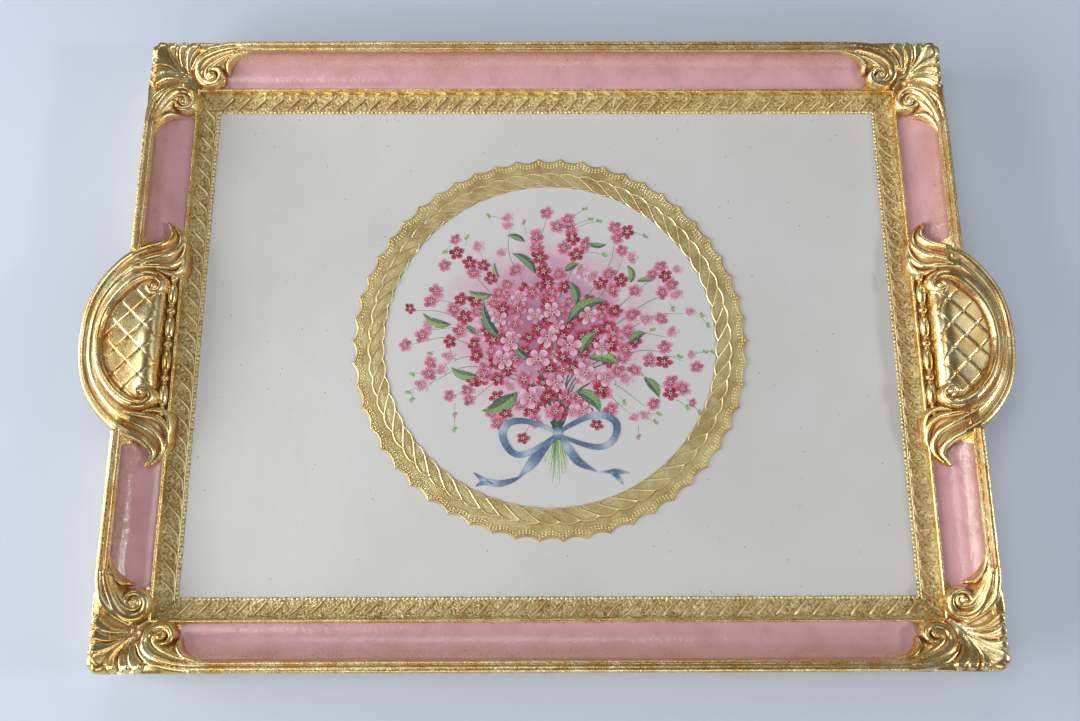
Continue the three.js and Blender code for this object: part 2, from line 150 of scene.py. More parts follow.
def tube_faces(rows, columns):
    """Faces of a closed tube made of rows of points, with a cap on each end."""
    ids = np.arange(rows * columns).reshape(rows, columns)
    ahead = np.roll(ids, -1, axis=1)
    quads = np.stack([ids[:-1], ahead[:-1], ahead[1:], ids[1:]], -1).reshape(-1, 4)
    return quads.tolist() + [ids[0, ::-1].tolist(), ids[-1].tolist()]


def link(name, verts, faces, material, node, slot, values=None, sharp=50):
    """A mesh object from millimetres that rides on the tray and stands in for a CAD node.

    values holds float attributes by name, with one number for each vertex.
    """
    mesh = bpy.data.meshes.new(name)
    mesh.from_pydata((np.asarray(verts, float) * MM).tolist(), [], [list(map(int, f)) for f in faces])
    for key, numbers in (values or {}).items():
        layer = mesh.attributes.new(key, "FLOAT", "POINT")
        layer.data.foreach_set("value", np.asarray(numbers, np.float32))
    shell = bmesh.new()
    shell.from_mesh(mesh)
    bmesh.ops.recalc_face_normals(shell, faces=shell.faces)
    shell.to_mesh(mesh)
    shell.free()
    mesh.shade_smooth()
    mesh.set_sharp_from_angle(angle=math.radians(sharp))
    mesh.materials.append(material)
    obj = bpy.data.objects.new(name, mesh)
    bpy.context.scene.collection.objects.link(obj)
    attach(obj, "root")
    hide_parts(node)
    return obj


# ---- Height fields clipped into closed solids ----
def clip_triangles(tris, gap, x, y, gap_at):
    """Keeps the part of each triangle where gap > 0.

    Returns triangles, the new points on their outline, and the grid points on either side of each.
    """
    inside = gap > 0
    count = inside[tris].sum(1)
    kept = [tris[count == 3]]
    cut_edges = []
    total = len(x)
    for few, odd_is_inside in ((1, True), (2, False)):
        group = tris[count == few]
        odd = np.argmax(inside[group] == odd_is_inside, axis=1)
        rolled = np.take_along_axis(group, (odd[:, None] + np.arange(3)) % 3, axis=1)
        cut_edges.append(rolled)
    pairs = np.concatenate([r[:, [0, k]] for r in cut_edges for k in (1, 2)])
    ordered = np.sort(pairs, axis=1)
    keys, inverse = np.unique(ordered[:, 0] * total + ordered[:, 1], return_inverse=True)
    low, high = keys // total, keys % total
    a = np.where(inside[low], low, high)
    b = np.where(inside[low], high, low)
    near, far = np.zeros(len(a)), np.ones(len(a))
    for _ in range(OUTLINE_HALVINGS):
        middle = (near + far) / 2
        good = gap_at(x[a] + (x[b] - x[a]) * middle, y[a] + (y[b] - y[a]) * middle) > 0
        near, far = np.where(good, middle, near), np.where(good, far, middle)
    new_x = x[a] + (x[b] - x[a]) * near
    new_y = y[a] + (y[b] - y[a]) * near
    ids = total + inverse
    one, two = len(cut_edges[0]), len(cut_edges[1])
    e1, e2, f1, f2 = ids[:one], ids[one : 2 * one], ids[2 * one : 2 * one + two], ids[2 * one + two :]
    kept.append(np.stack([cut_edges[0][:, 0], e1, e2], 1))
    kept.append(np.stack([f1, cut_edges[1][:, 1], cut_edges[1][:, 2]], 1))
    kept.append(np.stack([f1, cut_edges[1][:, 2], f2], 1))
    return np.concatenate(kept), new_x, new_y, (a, b)


def box_blur(grid, reach):
    """Mean over a square of 2 * reach + 1 cells."""
    for axis in (0, 1):
        width = [(reach + 1, reach) if k == axis else (0, 0) for k in (0, 1)]
        total = np.cumsum(np.pad(grid, width, mode="edge"), axis=axis)
        size = grid.shape[axis]
        upper = np.take(total, range(2 * reach + 1, 2 * reach + 1 + size), axis=axis)
        lower = np.take(total, range(size), axis=axis)
        grid = (upper - lower) / (2 * reach + 1)
    return grid


def relief_solid(xs, ys, top, bottom):
    """A closed mesh between a carved top and the surface under it, with its outline where they meet.

    Returns vertices, faces and a cavity value at each vertex: above 0 in a hollow, below 0 on a crest.
    """
    gx, gy = np.meshgrid(xs, ys, indexing="ij")
    x, y = gx.ravel(), gy.ravel()
    upper, lower = top(x, y), bottom(x, y)
    grid = np.maximum(upper, lower - 0.5).reshape(gx.shape)
    reach = max(1, round(1.3 / (xs[1] - xs[0])))
    cavity = (box_blur(box_blur(grid, reach), reach) - grid).ravel()
    ids = np.arange(len(x)).reshape(gx.shape)
    a, b, c, d = (ids[:-1, :-1], ids[1:, :-1], ids[1:, 1:], ids[:-1, 1:])
    tris = np.concatenate([np.stack(t, -1).reshape(-1, 3) for t in ((a, b, c), (a, c, d))])
    kept, new_x, new_y, (near, far) = clip_triangles(
        tris, upper - lower, x, y, lambda px, py: top(px, py) - bottom(px, py)
    )
    all_x, all_y = np.concatenate([x, new_x]), np.concatenate([y, new_y])
    rim = bottom(new_x, new_y)
    total = len(all_x)
    first_rim = len(x)
    used = np.unique(kept)
    under = used[used < first_rim]
    renumber = np.full(total, -1)
    renumber[used] = np.arange(len(used))
    renumber_under = renumber.copy()
    renumber_under[under] = len(used) + np.arange(len(under))
    verts = np.stack([all_x[used], all_y[used], np.concatenate([upper, rim])[used]], 1)
    floor = np.stack([x[under], y[under], lower[under]], 1)
    all_cavity = np.concatenate([cavity, (cavity[near] + cavity[far]) / 2])
    values = np.concatenate([all_cavity[used], all_cavity[under] * 0])
    faces = np.concatenate([renumber[kept], renumber_under[kept][:, ::-1]])
    return np.vstack([verts, floor]), faces, values


def mirrored(verts, faces, sign_x, sign_y=1):
    """The shape, mirrored in x or y where a sign is -1, with its faces still looking out."""
    turned = [face[::-1] for face in faces] if sign_x * sign_y < 0 else faces
    return verts * [sign_x, sign_y, 1], turned


# ---- The rail's moulding ----
# A round bead is the place of its middle, its radius, the height of its foot and its stretch upwards.
OUTER_BEAD = (2.0, 2.0, 26.2, 1.1)
INNER_BEAD = (4.65, 1.05, 26.3, 1.0)
LIP_BEAD = (23.7, 0.95, 14.9, 1.15)
GROOVE_HEIGHT = 26.9
COVE_HANDLES = ((COVE_START, 26.4), (9.6, 17.8), (16.5, 14.4), (COVE_END, 15.1))


def cove_curve():
    """Points across the cove, from under the inner bead down to the lip."""
    t = np.linspace(0, 1, 40)[:, None]
    a, b, c, d = [np.array(p) for p in COVE_HANDLES]
    return (1 - t) ** 3 * a + 3 * (1 - t) ** 2 * t * b + 3 * (1 - t) * t**2 * c + t**3 * d


COVE = cove_curve()


def bead_height(w, bead):
    middle, radius, foot, stretch = bead
    return foot + np.sqrt(np.clip(radius**2 - (w - middle) ** 2, 0, None)) * stretch


def bead_places(bead, start, end, count):
    """Places across a bead, between two angles from its outer foot."""
    return bead[0] - bead[1] * np.cos(np.linspace(start, end, count))


def rail_height(w):
    """Height of the moulding at a distance in from the tray's outer edge."""
    w = np.asarray(w, float)
    groove = np.where((w > OUTER_BEAD[0]) & (w < INNER_BEAD[0]), GROOVE_HEIGHT, 0)
    beads = np.maximum.reduce([bead_height(w, OUTER_BEAD), bead_height(w, INNER_BEAD), groove])
    cove = np.interp(w, COVE[:, 0], COVE[:, 1], left=0, right=0)
    inner = np.where(w > LIP_START, np.where(w < LIP_OUTER, bead_height(w, LIP_BEAD), BOARD_TOP), 0)
    on_rail = np.maximum(np.where(w < COVE_START, beads, cove), inner)
    return np.where(w < 0, OUTER_BEAD[2] + 14 * w, on_rail)


def across(u, v, softness=0.6):
    """Distance in from the nearer outer edge, slightly rounded over the mitre."""
    return -softness * np.logaddexp(-u / softness, -v / softness)


# ---- Corner ornaments ----
# Drawn in u, the distance in from the short side's edge, and v, the distance in from the long side's edge.
# Each row is u, v, half-width, crest above the carrier surface.
SIDE_SCROLL = {
    "outer": [
        (3.6, 62, 0.9, -0.3), (4.0, 52, 1.3, 0.2), (5.8, 42.5, 1.8, 0.8), (8.8, 34.8, 2.1, 1.3),
        (12.4, 28.8, 2.3, 1.7), (16.8, 26.0, 2.3, 2.0), (20.8, 27.2, 2.1, 2.2), (22.8, 31.0, 1.9, 2.4),
        (21.8, 35.4, 1.8, 2.3), (18.4, 37.6, 1.6, 2.0), (15.0, 36.6, 1.3, 1.5), (13.8, 33.8, 0.9, 0.8),
    ],
    "inner": [
        (6.0, 50, 0.7, -0.6), (7.6, 43, 1.1, 0.0), (10.6, 36.8, 1.5, 0.6), (14.2, 31.8, 1.6, 1.1),
        (17.4, 30.0, 1.6, 1.5), (19.6, 31.8, 1.4, 1.7), (19.2, 34.4, 1.3, 1.6), (17.2, 34.8, 1.1, 1.6),
    ],
    "edge": [
        (4.9, 62, 0.6, -0.8), (5.8, 53, 0.9, -0.3), (8.0, 46.5, 1.1, 0.2), (11.4, 42.4, 1.2, 0.3),
        (14.6, 41.6, 0.9, -0.3),
    ],
    "stem": [
        (1.4, 60, 1.3, 0.0), (1.5, 50, 1.6, 0.4), (2.4, 41, 1.8, 0.7), (4.8, 34.2, 1.9, 0.8),
        (9.4, 28, 1.7, 0.8), (16.2, 22.8, 1.2, 0.6),
    ],
}
FRONT_SCROLL = {
    "outer": [
        (62, 3.6, 0.9, -0.3), (52, 3.9, 1.4, 0.2), (41.5, 5.4, 1.9, 0.8), (32.6, 8.2, 2.3, 1.3),
        (26.8, 12.0, 2.5, 1.7), (25.0, 16.6, 2.4, 2.0), (27.0, 20.4, 2.2, 2.3), (31.0, 21.8, 2.0, 2.4),
        (35.2, 20.6, 1.9, 2.3), (37.2, 17.2, 1.7, 2.0), (35.6, 14.4, 1.3, 1.5), (32.6, 14.0, 0.9, 0.8),
    ],
    "inner": [
        (52, 5.8, 0.7, -0.6), (42, 7.8, 1.1, 0.0), (34.8, 11.0, 1.5, 0.6), (29.9, 14.4, 1.6, 1.2),
        (29.0, 17.4, 1.6, 1.5), (31.2, 19.2, 1.4, 1.7), (33.6, 18.2, 1.2, 1.6), (33.2, 16.4, 1.0, 1.5),
    ],
    "edge": [
        (62, 4.9, 0.6, -0.8), (53, 5.8, 0.9, -0.3), (45.6, 8.0, 1.1, 0.2), (41.6, 11.6, 1.2, 0.3),
        (41.0, 14.8, 0.9, -0.3),
    ],
    "stem": [
        (60, 1.4, 1.3, 0.0), (50, 1.5, 1.6, 0.3), (40, 2.6, 1.8, 0.5), (32, 4.9, 1.8, 0.6),
        (25.6, 8.8, 1.5, 0.6), (21.6, 13.8, 1.1, 0.5),
    ],
}
FLUTES = [
    [(19.8, 17.2, 0.7, 0.2), (19.6, 12.5, 1.4, 0.8), (21.2, 7.6, 2.1, 1.3), (24.6, 3.7, 2.6, 1.5)],
    [(18.6, 16.8, 0.6, 0.3), (16.8, 12.2, 1.4, 0.9), (16.8, 7.6, 2.1, 1.4), (18.8, 3.5, 2.6, 1.6)],
    [(17.6, 16.4, 0.6, 0.3), (14.2, 12.4, 1.3, 1.0), (12.2, 8.2, 2.0, 1.4), (12.6, 3.7, 2.5, 1.6)],
]
CORNER_LOBE = [(15.5, 15.6, 0.8, 0.4), (11.4, 11.6, 2.0, 1.1), (7.9, 8.2, 4.2, 1.9), (5.8, 6.0, 5.3, 2.5)]
ORNAMENT_FLOOR = [
    [(2, 50, 3.0, -1.4), (5, 40, 5.0, -1.3), (11, 31, 6.0, -1.2), (16.6, 31.6, 5.6, -1.0)],
    [(50, 2, 3.0, -1.4), (40, 5, 5.0, -1.3), (31, 11, 6.0, -1.2), (31, 16.0, 5.4, -1.0)],
    [(22.5, 22.5, 2.6, -1.7), (19, 19, 3.4, -1.2), (12, 12, 9.0, -1.0), (6, 6, 8.6, -0.8)],
    [(18, 20, 3.0, -1.2), (8, 24, 7.0, -1.1), (3, 29, 5.2, -1.1), (3, 40, 4.0, -1.3)],
    [(20, 18, 3.0, -1.2), (20, 8, 6.5, -1.1), (24, 3, 4.6, -1.1), (36, 3, 4.0, -1.3)],
]
SCROLL_EYES = ((17.0, 33.0), (31.6, 17.0))
CARRIER = np.array(
    [(-2, 27.0), (0, 27.6), (4, 27.2), (9, 24.6), (15, 20.8), (21, 17.9), (27, 16.0), (34, 15.0)]
)
CORNER_UNDERSIDE = 24.4  # height of the underside of what stands out past the rail's edge


def corner_top(u, v):
    w = across(u, v, 2.5)
    carrier = np.interp(w, CARRIER[:, 0], CARRIER[:, 1])
    height = np.full(u.shape, -40.0)
    for route in ORNAMENT_FLOOR:
        height = np.maximum(height, ridge(u, v, np.array(route), 1.6))
    for scroll in (SIDE_SCROLL, FRONT_SCROLL):
        for route in scroll.values():
            height = blend_max(height, ridge(u, v, catmull_rom(route), 1.7), 0.4)
    for route in FLUTES:
        flute = catmull_rom(route)
        for p, q in ((u, v), (v, u)):
            height = blend_max(height, ridge(p, q, flute, 1.8, hollow=0.55), 0.2)
    height = blend_max(height, ridge(u, v, catmull_rom(CORNER_LOBE), 2.4), 0.25)
    for eye in SCROLL_EYES:
        height = blend_max(height, boss(u, v, eye, 1.5), 0.2)
    past_edge = np.clip(0.5 - np.minimum(u, v), 0, None)
    return carrier + height - 3.4 * past_edge**2


def corner_bottom(u, v):
    """The rail under the carving, and the underside of what stands out past its edge."""
    w = across(u, v, 0.2)
    lifted = CORNER_UNDERSIDE + 3 * np.clip(w - 4.5, 0, None)
    return np.where(w < 0, CORNER_UNDERSIDE, np.minimum(rail_height(w) - 0.5, lifted))


def corner_ornaments(gold):
    """One carved corner, mirrored into the four corners of the frame."""
    reach = np.arange(-0.9, 63, STEP)
    verts, faces, cavity = relief_solid(reach, reach, corner_top, corner_bottom)
    verts = round_corner(verts)
    verts[:, :2] = (HALF_X, HALF_Y) - verts[:, :2]
    for end, side, sx, sy in (
        ("front", "left", -1, -1),
        ("front", "right", 1, -1),
        ("back", "right", 1, 1),
        ("back", "left", -1, 1),
    ):
        name, node = f"carved_corner_{end}_{side}", f"corner_ornament_{end}_{side}"
        link(name, *mirrored(verts, faces, sx, sy), gold, node, "bright_gilding", {"cavity": cavity})


def round_corner(verts):
    """Rounds the frame's sharp corner.

    The square inside CORNER_ROUND of the corner is drawn onto a quarter disc.
    """
    inward = CORNER_ROUND - verts[:, :2]
    square = np.maximum(inward[:, 0], inward[:, 1])
    disc = np.hypot(inward[:, 0], inward[:, 1])
    near = (inward > 0).all(1)
    pull = np.where(near, square / np.maximum(disc, 1e-6), 1.0)[:, None]
    placed = np.where(near[:, None], CORNER_ROUND - inward * pull, verts[:, :2])
    return np.hstack([placed, verts[:, 2:]])


# ---- Rails ----
def side_turn(side, s, w):
    """From a place along a side and a distance in from its edge, to x and y."""
    reach = HALF_X if side in SHORT_SIDES else HALF_Y
    c, n = math.cos(SIDE_TURN[side]), math.sin(SIDE_TURN[side])
    return s * c - (w - reach) * n, s * n + (w - reach) * c


def rail_section():
    """The moulding's outline: across and height, from the underside's outer edge over the top and back."""
    wall = [(2.6, 0.0), (0.4, 15.0), (0.0, 17.5), (0.0, 22.0), (0.0, 25.6)]
    outer = bead_places(OUTER_BEAD, 0.25, 2.45, 14)
    inner = bead_places(INNER_BEAD, 0.5, 2.5, 8)
    lip = bead_places(LIP_BEAD, 0.3, 2.85, 10)
    w_top = np.sort(np.concatenate([outer, [3.55], inner, COVE[1:-1, 0], lip]))
    top = list(zip(w_top, rail_height(w_top)))
    inside = [(LIP_OUTER, 14.4), (LIP_OUTER, BOARD_TOP), (REBATE, BOARD_TOP), (REBATE, 0.0)]
    return np.array(wall + top + inside)


def rail_places(length):
    """Places along a rail, 0 to 1, closer together near its ends."""
    fine = 9.0 / length
    middle = np.linspace(fine, 1 - fine, 150)
    return np.concatenate([np.linspace(0, fine, 13)[:-1], middle, np.linspace(1 - fine, 1, 13)[1:]])


def rail(side, lacquer):
    """One mitred rail, with a seat under the handle if it is a short one."""
    short = side in SHORT_SIDES
    half = HALF_Y if short else HALF_X
    section = rail_section()
    places = rail_places(2 * half)
    along = (half - section[:, 0]) * (2 * places[:, None] - 1)
    w, z = (np.broadcast_to(column, along.shape).copy() for column in section.T)
    from_end = half - np.abs(along)
    lowered = UNDER_CARVING + 5 * np.clip(from_end - CARVING_REACH, 0, None)
    z = np.where((w < 5.0) & (z > UNDER_CARVING), np.minimum(z, lowered), z)
    if short:
        beside = np.abs((along if side == "right" else -along) - HANDLE_MIDDLE)
        z = np.where(w < SEAT_DEPTH, np.minimum(z, seat_height(beside, w)), z)
    rounded = round_corner(np.stack([w.ravel(), from_end.ravel(), z.ravel()], 1))
    x, y = side_turn(side, np.sign(along.ravel()) * (half - rounded[:, 1]), rounded[:, 0])
    # Painted shade: cavity values that turn the gilt to bole colour in the groove between the outer beads
    # and at the foot of the lip.
    groove = np.where((w > 3.1) & (w < 3.9) & (z > 24), 0.6, 0.0)
    lip_foot = np.where((w > 22.2) & (w < COVE_END) & (z > 12), 0.4, 0.0)
    if short:
        w[beside < HANDLE_GILT] = OFF_THE_COVE
    values = {
        "across": np.where((z > 14.0) | (w > LIP_OUTER - 0.5), w, OFF_THE_COVE).ravel(),
        "along": from_end.ravel(),
        "cavity": (groove + lip_foot).ravel(),
    }
    verts, faces = np.stack([x, y, z.ravel()], 1), tube_faces(*along.shape)
    link(f"moulded_rail_{side}", verts, faces, lacquer, f"rail_{side}", "rose_lacquer", values, sharp=40)


# ---- Handles ----
# Drawn for the right-hand side. Each row is x, the distance from the handle's middle along the rail,
# half-width and crest above the carrier surface; each route is mirrored to the handle's other half.
RIM_OUTER = [
    (240.4, 0, 2.3, 0.3), (239.3, 13, 2.3, 0.3), (235.8, 25, 2.3, 0.3), (229.6, 35, 2.3, 0.4),
    (221.2, 43.6, 2.3, 0.6), (212.6, 49.0, 2.2, 0.8), (205.0, 53.2, 2.0, 0.8), (201.1, 59.0, 1.6, 0.6),
    (203.8, 65.6, 0.7, 0.2),
]
RIM_MIDDLE = [
    (236.4, 0, 1.1, -0.3), (235.4, 11.5, 1.1, -0.3), (231.8, 22.5, 1.1, -0.3), (225.6, 31.6, 1.3, -0.1),
    (217.6, 38.8, 1.7, 0.4), (209.0, 43.6, 1.9, 0.7), (201.4, 47.6, 1.8, 0.8), (197.6, 53.6, 1.5, 0.7),
    (197.9, 59.6, 1.1, 0.5), (201.4, 64.6, 0.6, 0.1),
]
RIM_INNER = [
    (232.8, 0, 2.1, 0.6), (231.6, 10, 2.1, 0.6), (227.8, 19.6, 2.1, 0.7), (221.4, 27.8, 2.3, 0.9),
    (214.0, 33.4, 2.4, 1.2), (207.2, 34.6, 2.3, 1.6), (203.0, 31.4, 2.0, 1.9), (203.6, 27.2, 1.7, 1.9),
    (206.8, 25.6, 1.5, 1.7), (209.2, 28.0, 1.3, 1.5), (207.6, 30.2, 1.1, 1.4),
]
LEAF_FLUTES = [
    [
        (217, 38.4, 0.7, -0.2), (208, 39.8, 1.5, 0.5), (200, 41.0, 1.7, 0.8), (196.0, 46.0, 1.6, 0.8),
        (195.0, 53.0, 1.2, 0.5), (197.0, 58.6, 0.6, 0),
    ],
    [
        (206, 37.9, 0.7, 0.0), (199.8, 36.8, 1.4, 0.7), (196.2, 38.8, 1.5, 0.9), (194.6, 43.6, 1.3, 0.7),
        (194.2, 50.0, 0.6, 0.1),
    ],
]
RIM_FLOOR = [
    (237.0, 0, 5.4, -0.8), (235.8, 12, 5.4, -0.8), (232.2, 23.4, 5.4, -0.8), (226, 33, 5.6, -0.8),
    (217, 40.6, 6.0, -0.9),
]
HANDLE_FLOOR = [
    (224, 36, 4.5, -1.4), (211, 41.5, 7.0, -1.2), (202, 45.5, 7.0, -1.2), (199.4, 54, 4.8, -1.3),
    (201.0, 60, 2.4, -1.5),
]
HANDLE_EYE = (206.2, 28.4)
EAR_CARRIER = np.array(
    [(192, 15.8), (196, 17.8), (200, 20.6), (205, 23.6), (211, 26.0), (218, 27.2), (230, 26.6), (244, 25.6)]
)
LATTICE = (14.0, 13.2)  # the lattice's cells, corner to corner, along x and y
LATTICE_SHIFT = (0.526, 0.39)


def lattice_field(x, y):
    """The convex field inside the rim, with incised diagonal lines and a dot where they cross."""
    rise = np.sqrt(np.clip(1 - (np.clip(217 - x, 0, None) / 15.8) ** 4, 0, 1))
    outwards = 0.1 * np.clip(x - 206, 0, None) + 0.8 * (np.clip(x - 217, 0, None) / 15) ** 2
    height = 17.3 + 9.8 * rise - outwards - 2.0 * (y / 32) ** 2
    p, q = x / LATTICE[0] + y / LATTICE[1], x / LATTICE[0] - y / LATTICE[1]
    scale = math.prod(LATTICE) / math.hypot(*LATTICE)
    off_p = np.abs((p - LATTICE_SHIFT[0] + 0.5) % 1 - 0.5) * scale
    off_q = np.abs((q - LATTICE_SHIFT[1] + 0.5) % 1 - 0.5) * scale
    line = np.maximum(np.exp(-((off_p / 0.34) ** 2)), np.exp(-((off_q / 0.34) ** 2)))
    dot = np.exp(-(np.hypot(off_p, off_q) / 0.75) ** 2)
    pillow = 0.05 * np.minimum(smooth(off_p, 0.4, 3.0), smooth(off_q, 0.4, 3.0))
    edge = np.hypot((x - 206.5) / 27.5, y / 35.0)
    beyond = 40 * np.clip(edge - 1, 0, None) + 20 * np.clip(201.9 - x, 0, None)
    return height + pillow - (0.42 * line + 0.3 * dot) * smooth(x, 202.6, 206.5) - beyond


def handle_top(x, y):
    away = np.abs(y)
    carrier = np.interp(x, EAR_CARRIER[:, 0], EAR_CARRIER[:, 1]) - 2.8 * smooth(away, 42, 66)
    height = np.full(x.shape, -40.0)
    for floor in (HANDLE_FLOOR, RIM_FLOOR):
        height = np.maximum(height, ridge(x, away, np.array(floor, float), 1.8))
    for route in (RIM_OUTER, RIM_MIDDLE, RIM_INNER, *LEAF_FLUTES):
        height = blend_max(height, ridge(x, away, catmull_rom(route), 1.7), 0.4)
    height = blend_max(height, boss(x, away, HANDLE_EYE, 1.4), 0.2)
    return blend_max(carrier + height, lattice_field(x, y), 0.3)


def seat_height(beside, w):
    """Height of the seat cut under an ear: it reaches further along the outer bead than along the cove."""
    return SEAT_TOP + 4 * np.clip(beside - SEAT_HALF - 4.2 * (w < 5.6), 0, None)


def handle_bottom(x, y):
    """The seat and the cove under the handle, and the ear's hollowed underside beyond the rail."""
    on_rail = np.minimum(rail_height(HALF_X - x), seat_height(np.abs(y), HALF_X - x)) - 0.5
    ear = 9.0 + 8.5 * (1 - np.exp(-np.clip(x - HALF_X - 1, 0, None) / 5.0))
    return np.where(x < HALF_X + 0.1, on_rail, ear)


def handles(gold):
    xs = np.arange(192.5, 245.5, STEP)
    ys = np.arange(-69.5, 69.6, STEP)
    verts, faces, cavity = relief_solid(xs, ys, handle_top, handle_bottom)
    verts[:, 1] += HANDLE_MIDDLE
    for side, sign in (("right", 1), ("left", -1)):
        shape = mirrored(verts, faces, sign)
        link(f"carved_handle_{side}", *shape, gold, f"handle_{side}", "bright_gilding", {"cavity": cavity})


def bead_strips(gold):
    """Round and long beads in turn, with a thin reel each side of every round bead."""
    middle = sum(corner.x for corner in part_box("bead_strip_right")) / 2 / MM
    first, pitch, count, height = 32.0, 18.2, 5, 17.5
    past_end, step, sides = 2.6, 0.32, 24
    places = np.arange(-past_end, (count - 1) * pitch + past_end + 0.01, step)
    phase = (places + pitch / 2) % pitch - pitch / 2
    round_bead = np.sqrt(np.clip(2.15**2 - phase**2, 0, None))
    from_long = np.abs(phase) - pitch / 2
    long_bead = 2.35 * np.sqrt(np.clip(1 - (from_long / 5.9) ** 2, 0, None)) ** 0.8
    reel = 1.35 * np.exp(-(((np.abs(phase) - 2.75) / 0.42) ** 4))
    radius = np.maximum.reduce([round_bead, long_bead, reel, np.full(len(places), 0.8)])
    radius[[0, -1]] = 0.05
    angle = np.arange(sides) * TAU / sides
    x, z = (radius[:, None] * turn(angle) for turn in (np.cos, np.sin))
    y = np.broadcast_to((first - places)[:, None], x.shape)
    verts = np.stack([middle + x, y, height + z], -1).reshape(-1, 3)
    # Painted shade: the thin necks between the beads get a high cavity value, which turns the leaf to bole
    # colour there.
    cavity = np.repeat(np.clip(1.3 - radius, -0.4, 0.5), sides)
    for side, sign in (("right", 1), ("left", -1)):
        shape = mirrored(verts, tube_faces(*x.shape), sign)
        node = f"bead_strip_{side}"
        link(f"bead_and_reel_{side}", *shape, gold, node, "bright_gilding", {"cavity": cavity})


# ---- Small raised work: ribs, beads and paint ----
SUNK = 0.02  # how far the little solids reach into the surface under them


class Relief:
    """Collects closed little solids that stand proud of one surface, for one piece."""

    def __init__(self, origin, base):
        self.origin, self.base = origin, base
        self.verts, self.faces, self.colors, self.cavity, self.count = [], [], [], [], 0

    def add(self, grid, level, closed, colors=None, cavity=None):
        """A patch from a grid of top points (rows x columns x 3), walled down into the surface."""
        rows, columns = grid.shape[:2]
        top, low = grid.copy(), grid.copy()
        top[..., 2] += self.base + level
        low[..., 2] = self.base - SUNK
        ids = self.count + np.arange(rows * columns).reshape(rows, columns)
        under = ids + rows * columns
        wrap = (np.roll(ids, -1, 1), np.roll(under, -1, 1)) if closed else (ids[:, 1:], under[:, 1:])
        a, b = (ids, under) if closed else (ids[:, :-1], under[:, :-1])
        quads = [np.stack([a[:-1], wrap[0][:-1], wrap[0][1:], a[1:]], -1).reshape(-1, 4)]
        quads.append(np.stack([b[:-1], b[1:], wrap[1][1:], wrap[1][:-1]], -1).reshape(-1, 4))
        quads.append(np.stack([a[0], b[0], wrap[1][0], wrap[0][0]], -1))
        if closed:
            self.faces += [ids[-1].tolist(), under[-1, ::-1].tolist()]
        else:
            quads.append(np.stack([a[-1], wrap[0][-1], wrap[1][-1], b[-1]], -1))
            for column, order in ((0, 1), (-1, -1)):
                u, v = ids[:, column], under[:, column]
                quads.append(np.stack([u[:-1], u[1:], v[1:], v[:-1]], -1)[:, ::order])
        self.faces += np.concatenate(quads).tolist()
        for block in (top, low):
            block[..., :2] += self.origin
            self.verts.append(block.reshape(-1, 3))
            if colors is not None:
                self.colors.append(colors.reshape(-1, 4))
            self.cavity.append(np.zeros(rows * columns) if cavity is None else cavity.reshape(-1))
        self.count += 2 * rows * columns

    def blade(
        self, points, widths, level, crown=0.05, columns=7, per_span=6, color_at=None, shaded_side=0.0, lifts=None
    ):
        """A strip along a smooth route.

        color_at takes place along, 0 to 1, and place across, -1 to 1. The argument of 1 or -1 that follows
        color_at picks the edge of the strip that gets painted shade, and lifts raises each point.
        """
        lifts = lifts or [0.0] * len(points)
        route = catmull_rom([(*p, w, up) for p, w, up in zip(points, widths, lifts)], per_span)
        ahead = np.gradient(route[:, :2], axis=0)
        ahead /= np.maximum(np.linalg.norm(ahead, axis=1), 1e-9)[:, None]
        side = np.stack([-ahead[:, 1], ahead[:, 0]], 1)
        u = np.linspace(-1, 1, columns)
        half = np.maximum(route[:, 2], 0.03)[:, None, None]
        flat = route[:, None, :2] + side[:, None, :] * half * u[None, :, None]
        rise = route[:, None, 3:] + crown * (1 - u**2)[None, :, None]
        t = np.broadcast_to(np.linspace(0, 1, len(route))[:, None], flat.shape[:2])
        across_it = np.broadcast_to(u, t.shape)
        colors = color_at(t, across_it) if color_at else None
        # Painted shade: a high cavity value down one edge of the strip turns its leaf to bole colour there.
        cavity = np.where(across_it * shaded_side > 0.4, 1.3, -0.2)
        self.add(np.concatenate([flat, rise], -1), level, False, colors, cavity)

    def bead(self, x, y, radius, height, steps=10):
        angle = np.arange(steps) * TAU / steps
        rise = np.array([0.0, 0.45, 0.8, 0.97])[:, None]
        reach = radius * np.sqrt(1 - rise**2)
        x, y = x + reach * np.cos(angle), y + reach * np.sin(angle)
        self.add(np.stack([x, y, height * rise + 0 * angle], -1), 0.0, True)

    def piece(self, name, material, node, slot):
        cavity = {"cavity": np.concatenate(self.cavity)}
        obj = link(name, np.vstack(self.verts), self.faces, material, node, slot, cavity, 80)
        if self.colors:
            layer = obj.data.color_attributes.new("paint", "FLOAT_COLOR", "POINT")
            layer.data.foreach_set("color", np.vstack(self.colors).astype(np.float32).ravel())


# ---- Gesso border ----
BORDER_FROM = 24.3
BORDER_TO = 34.8
BORDER_LINE = 32.9  # distance in from the outer edge of the thin line, and of the beads' middles
BORDER_BEADS = 34.1
RELIEF_FLOOR = 0.5  # height of the gilded ground above the board
GROUND_SUNK = 0.05
VEIN_PITCH = 9.3
BEAD_PITCH = 2.2
BORDER_SEEDS = {"front": 1.3, "right": 2.9, "back": 4.4, "left": 5.7}
# Each row of a rib is its place along the side, its distance in from the outer edge and its half-width.
LONG_VEIN = [(1.3, 26.3, 0.5), (2.6, 27.4, 0.78), (5.6, 30.4, 0.62), (7.8, 32.9, 0.34)]
SHORT_VEIN = [(-5.0, 32.3, 0.34), (-1.2, 32.2, 0.5), (0.6, 31.2, 0.55), (3.6, 28.4, 0.6), (5.8, 26.3, 0.45)]


def wobble(s, seed):
    """A small hand-made waver along a line, about 1 at most."""
    waves = ((0.5, 0.83, 1), (0.3, 2.07, 2.3), (0.2, 4.3, 1.7))
    return sum(size * np.sin(s * rate + shift * seed) for size, rate, shift in waves)


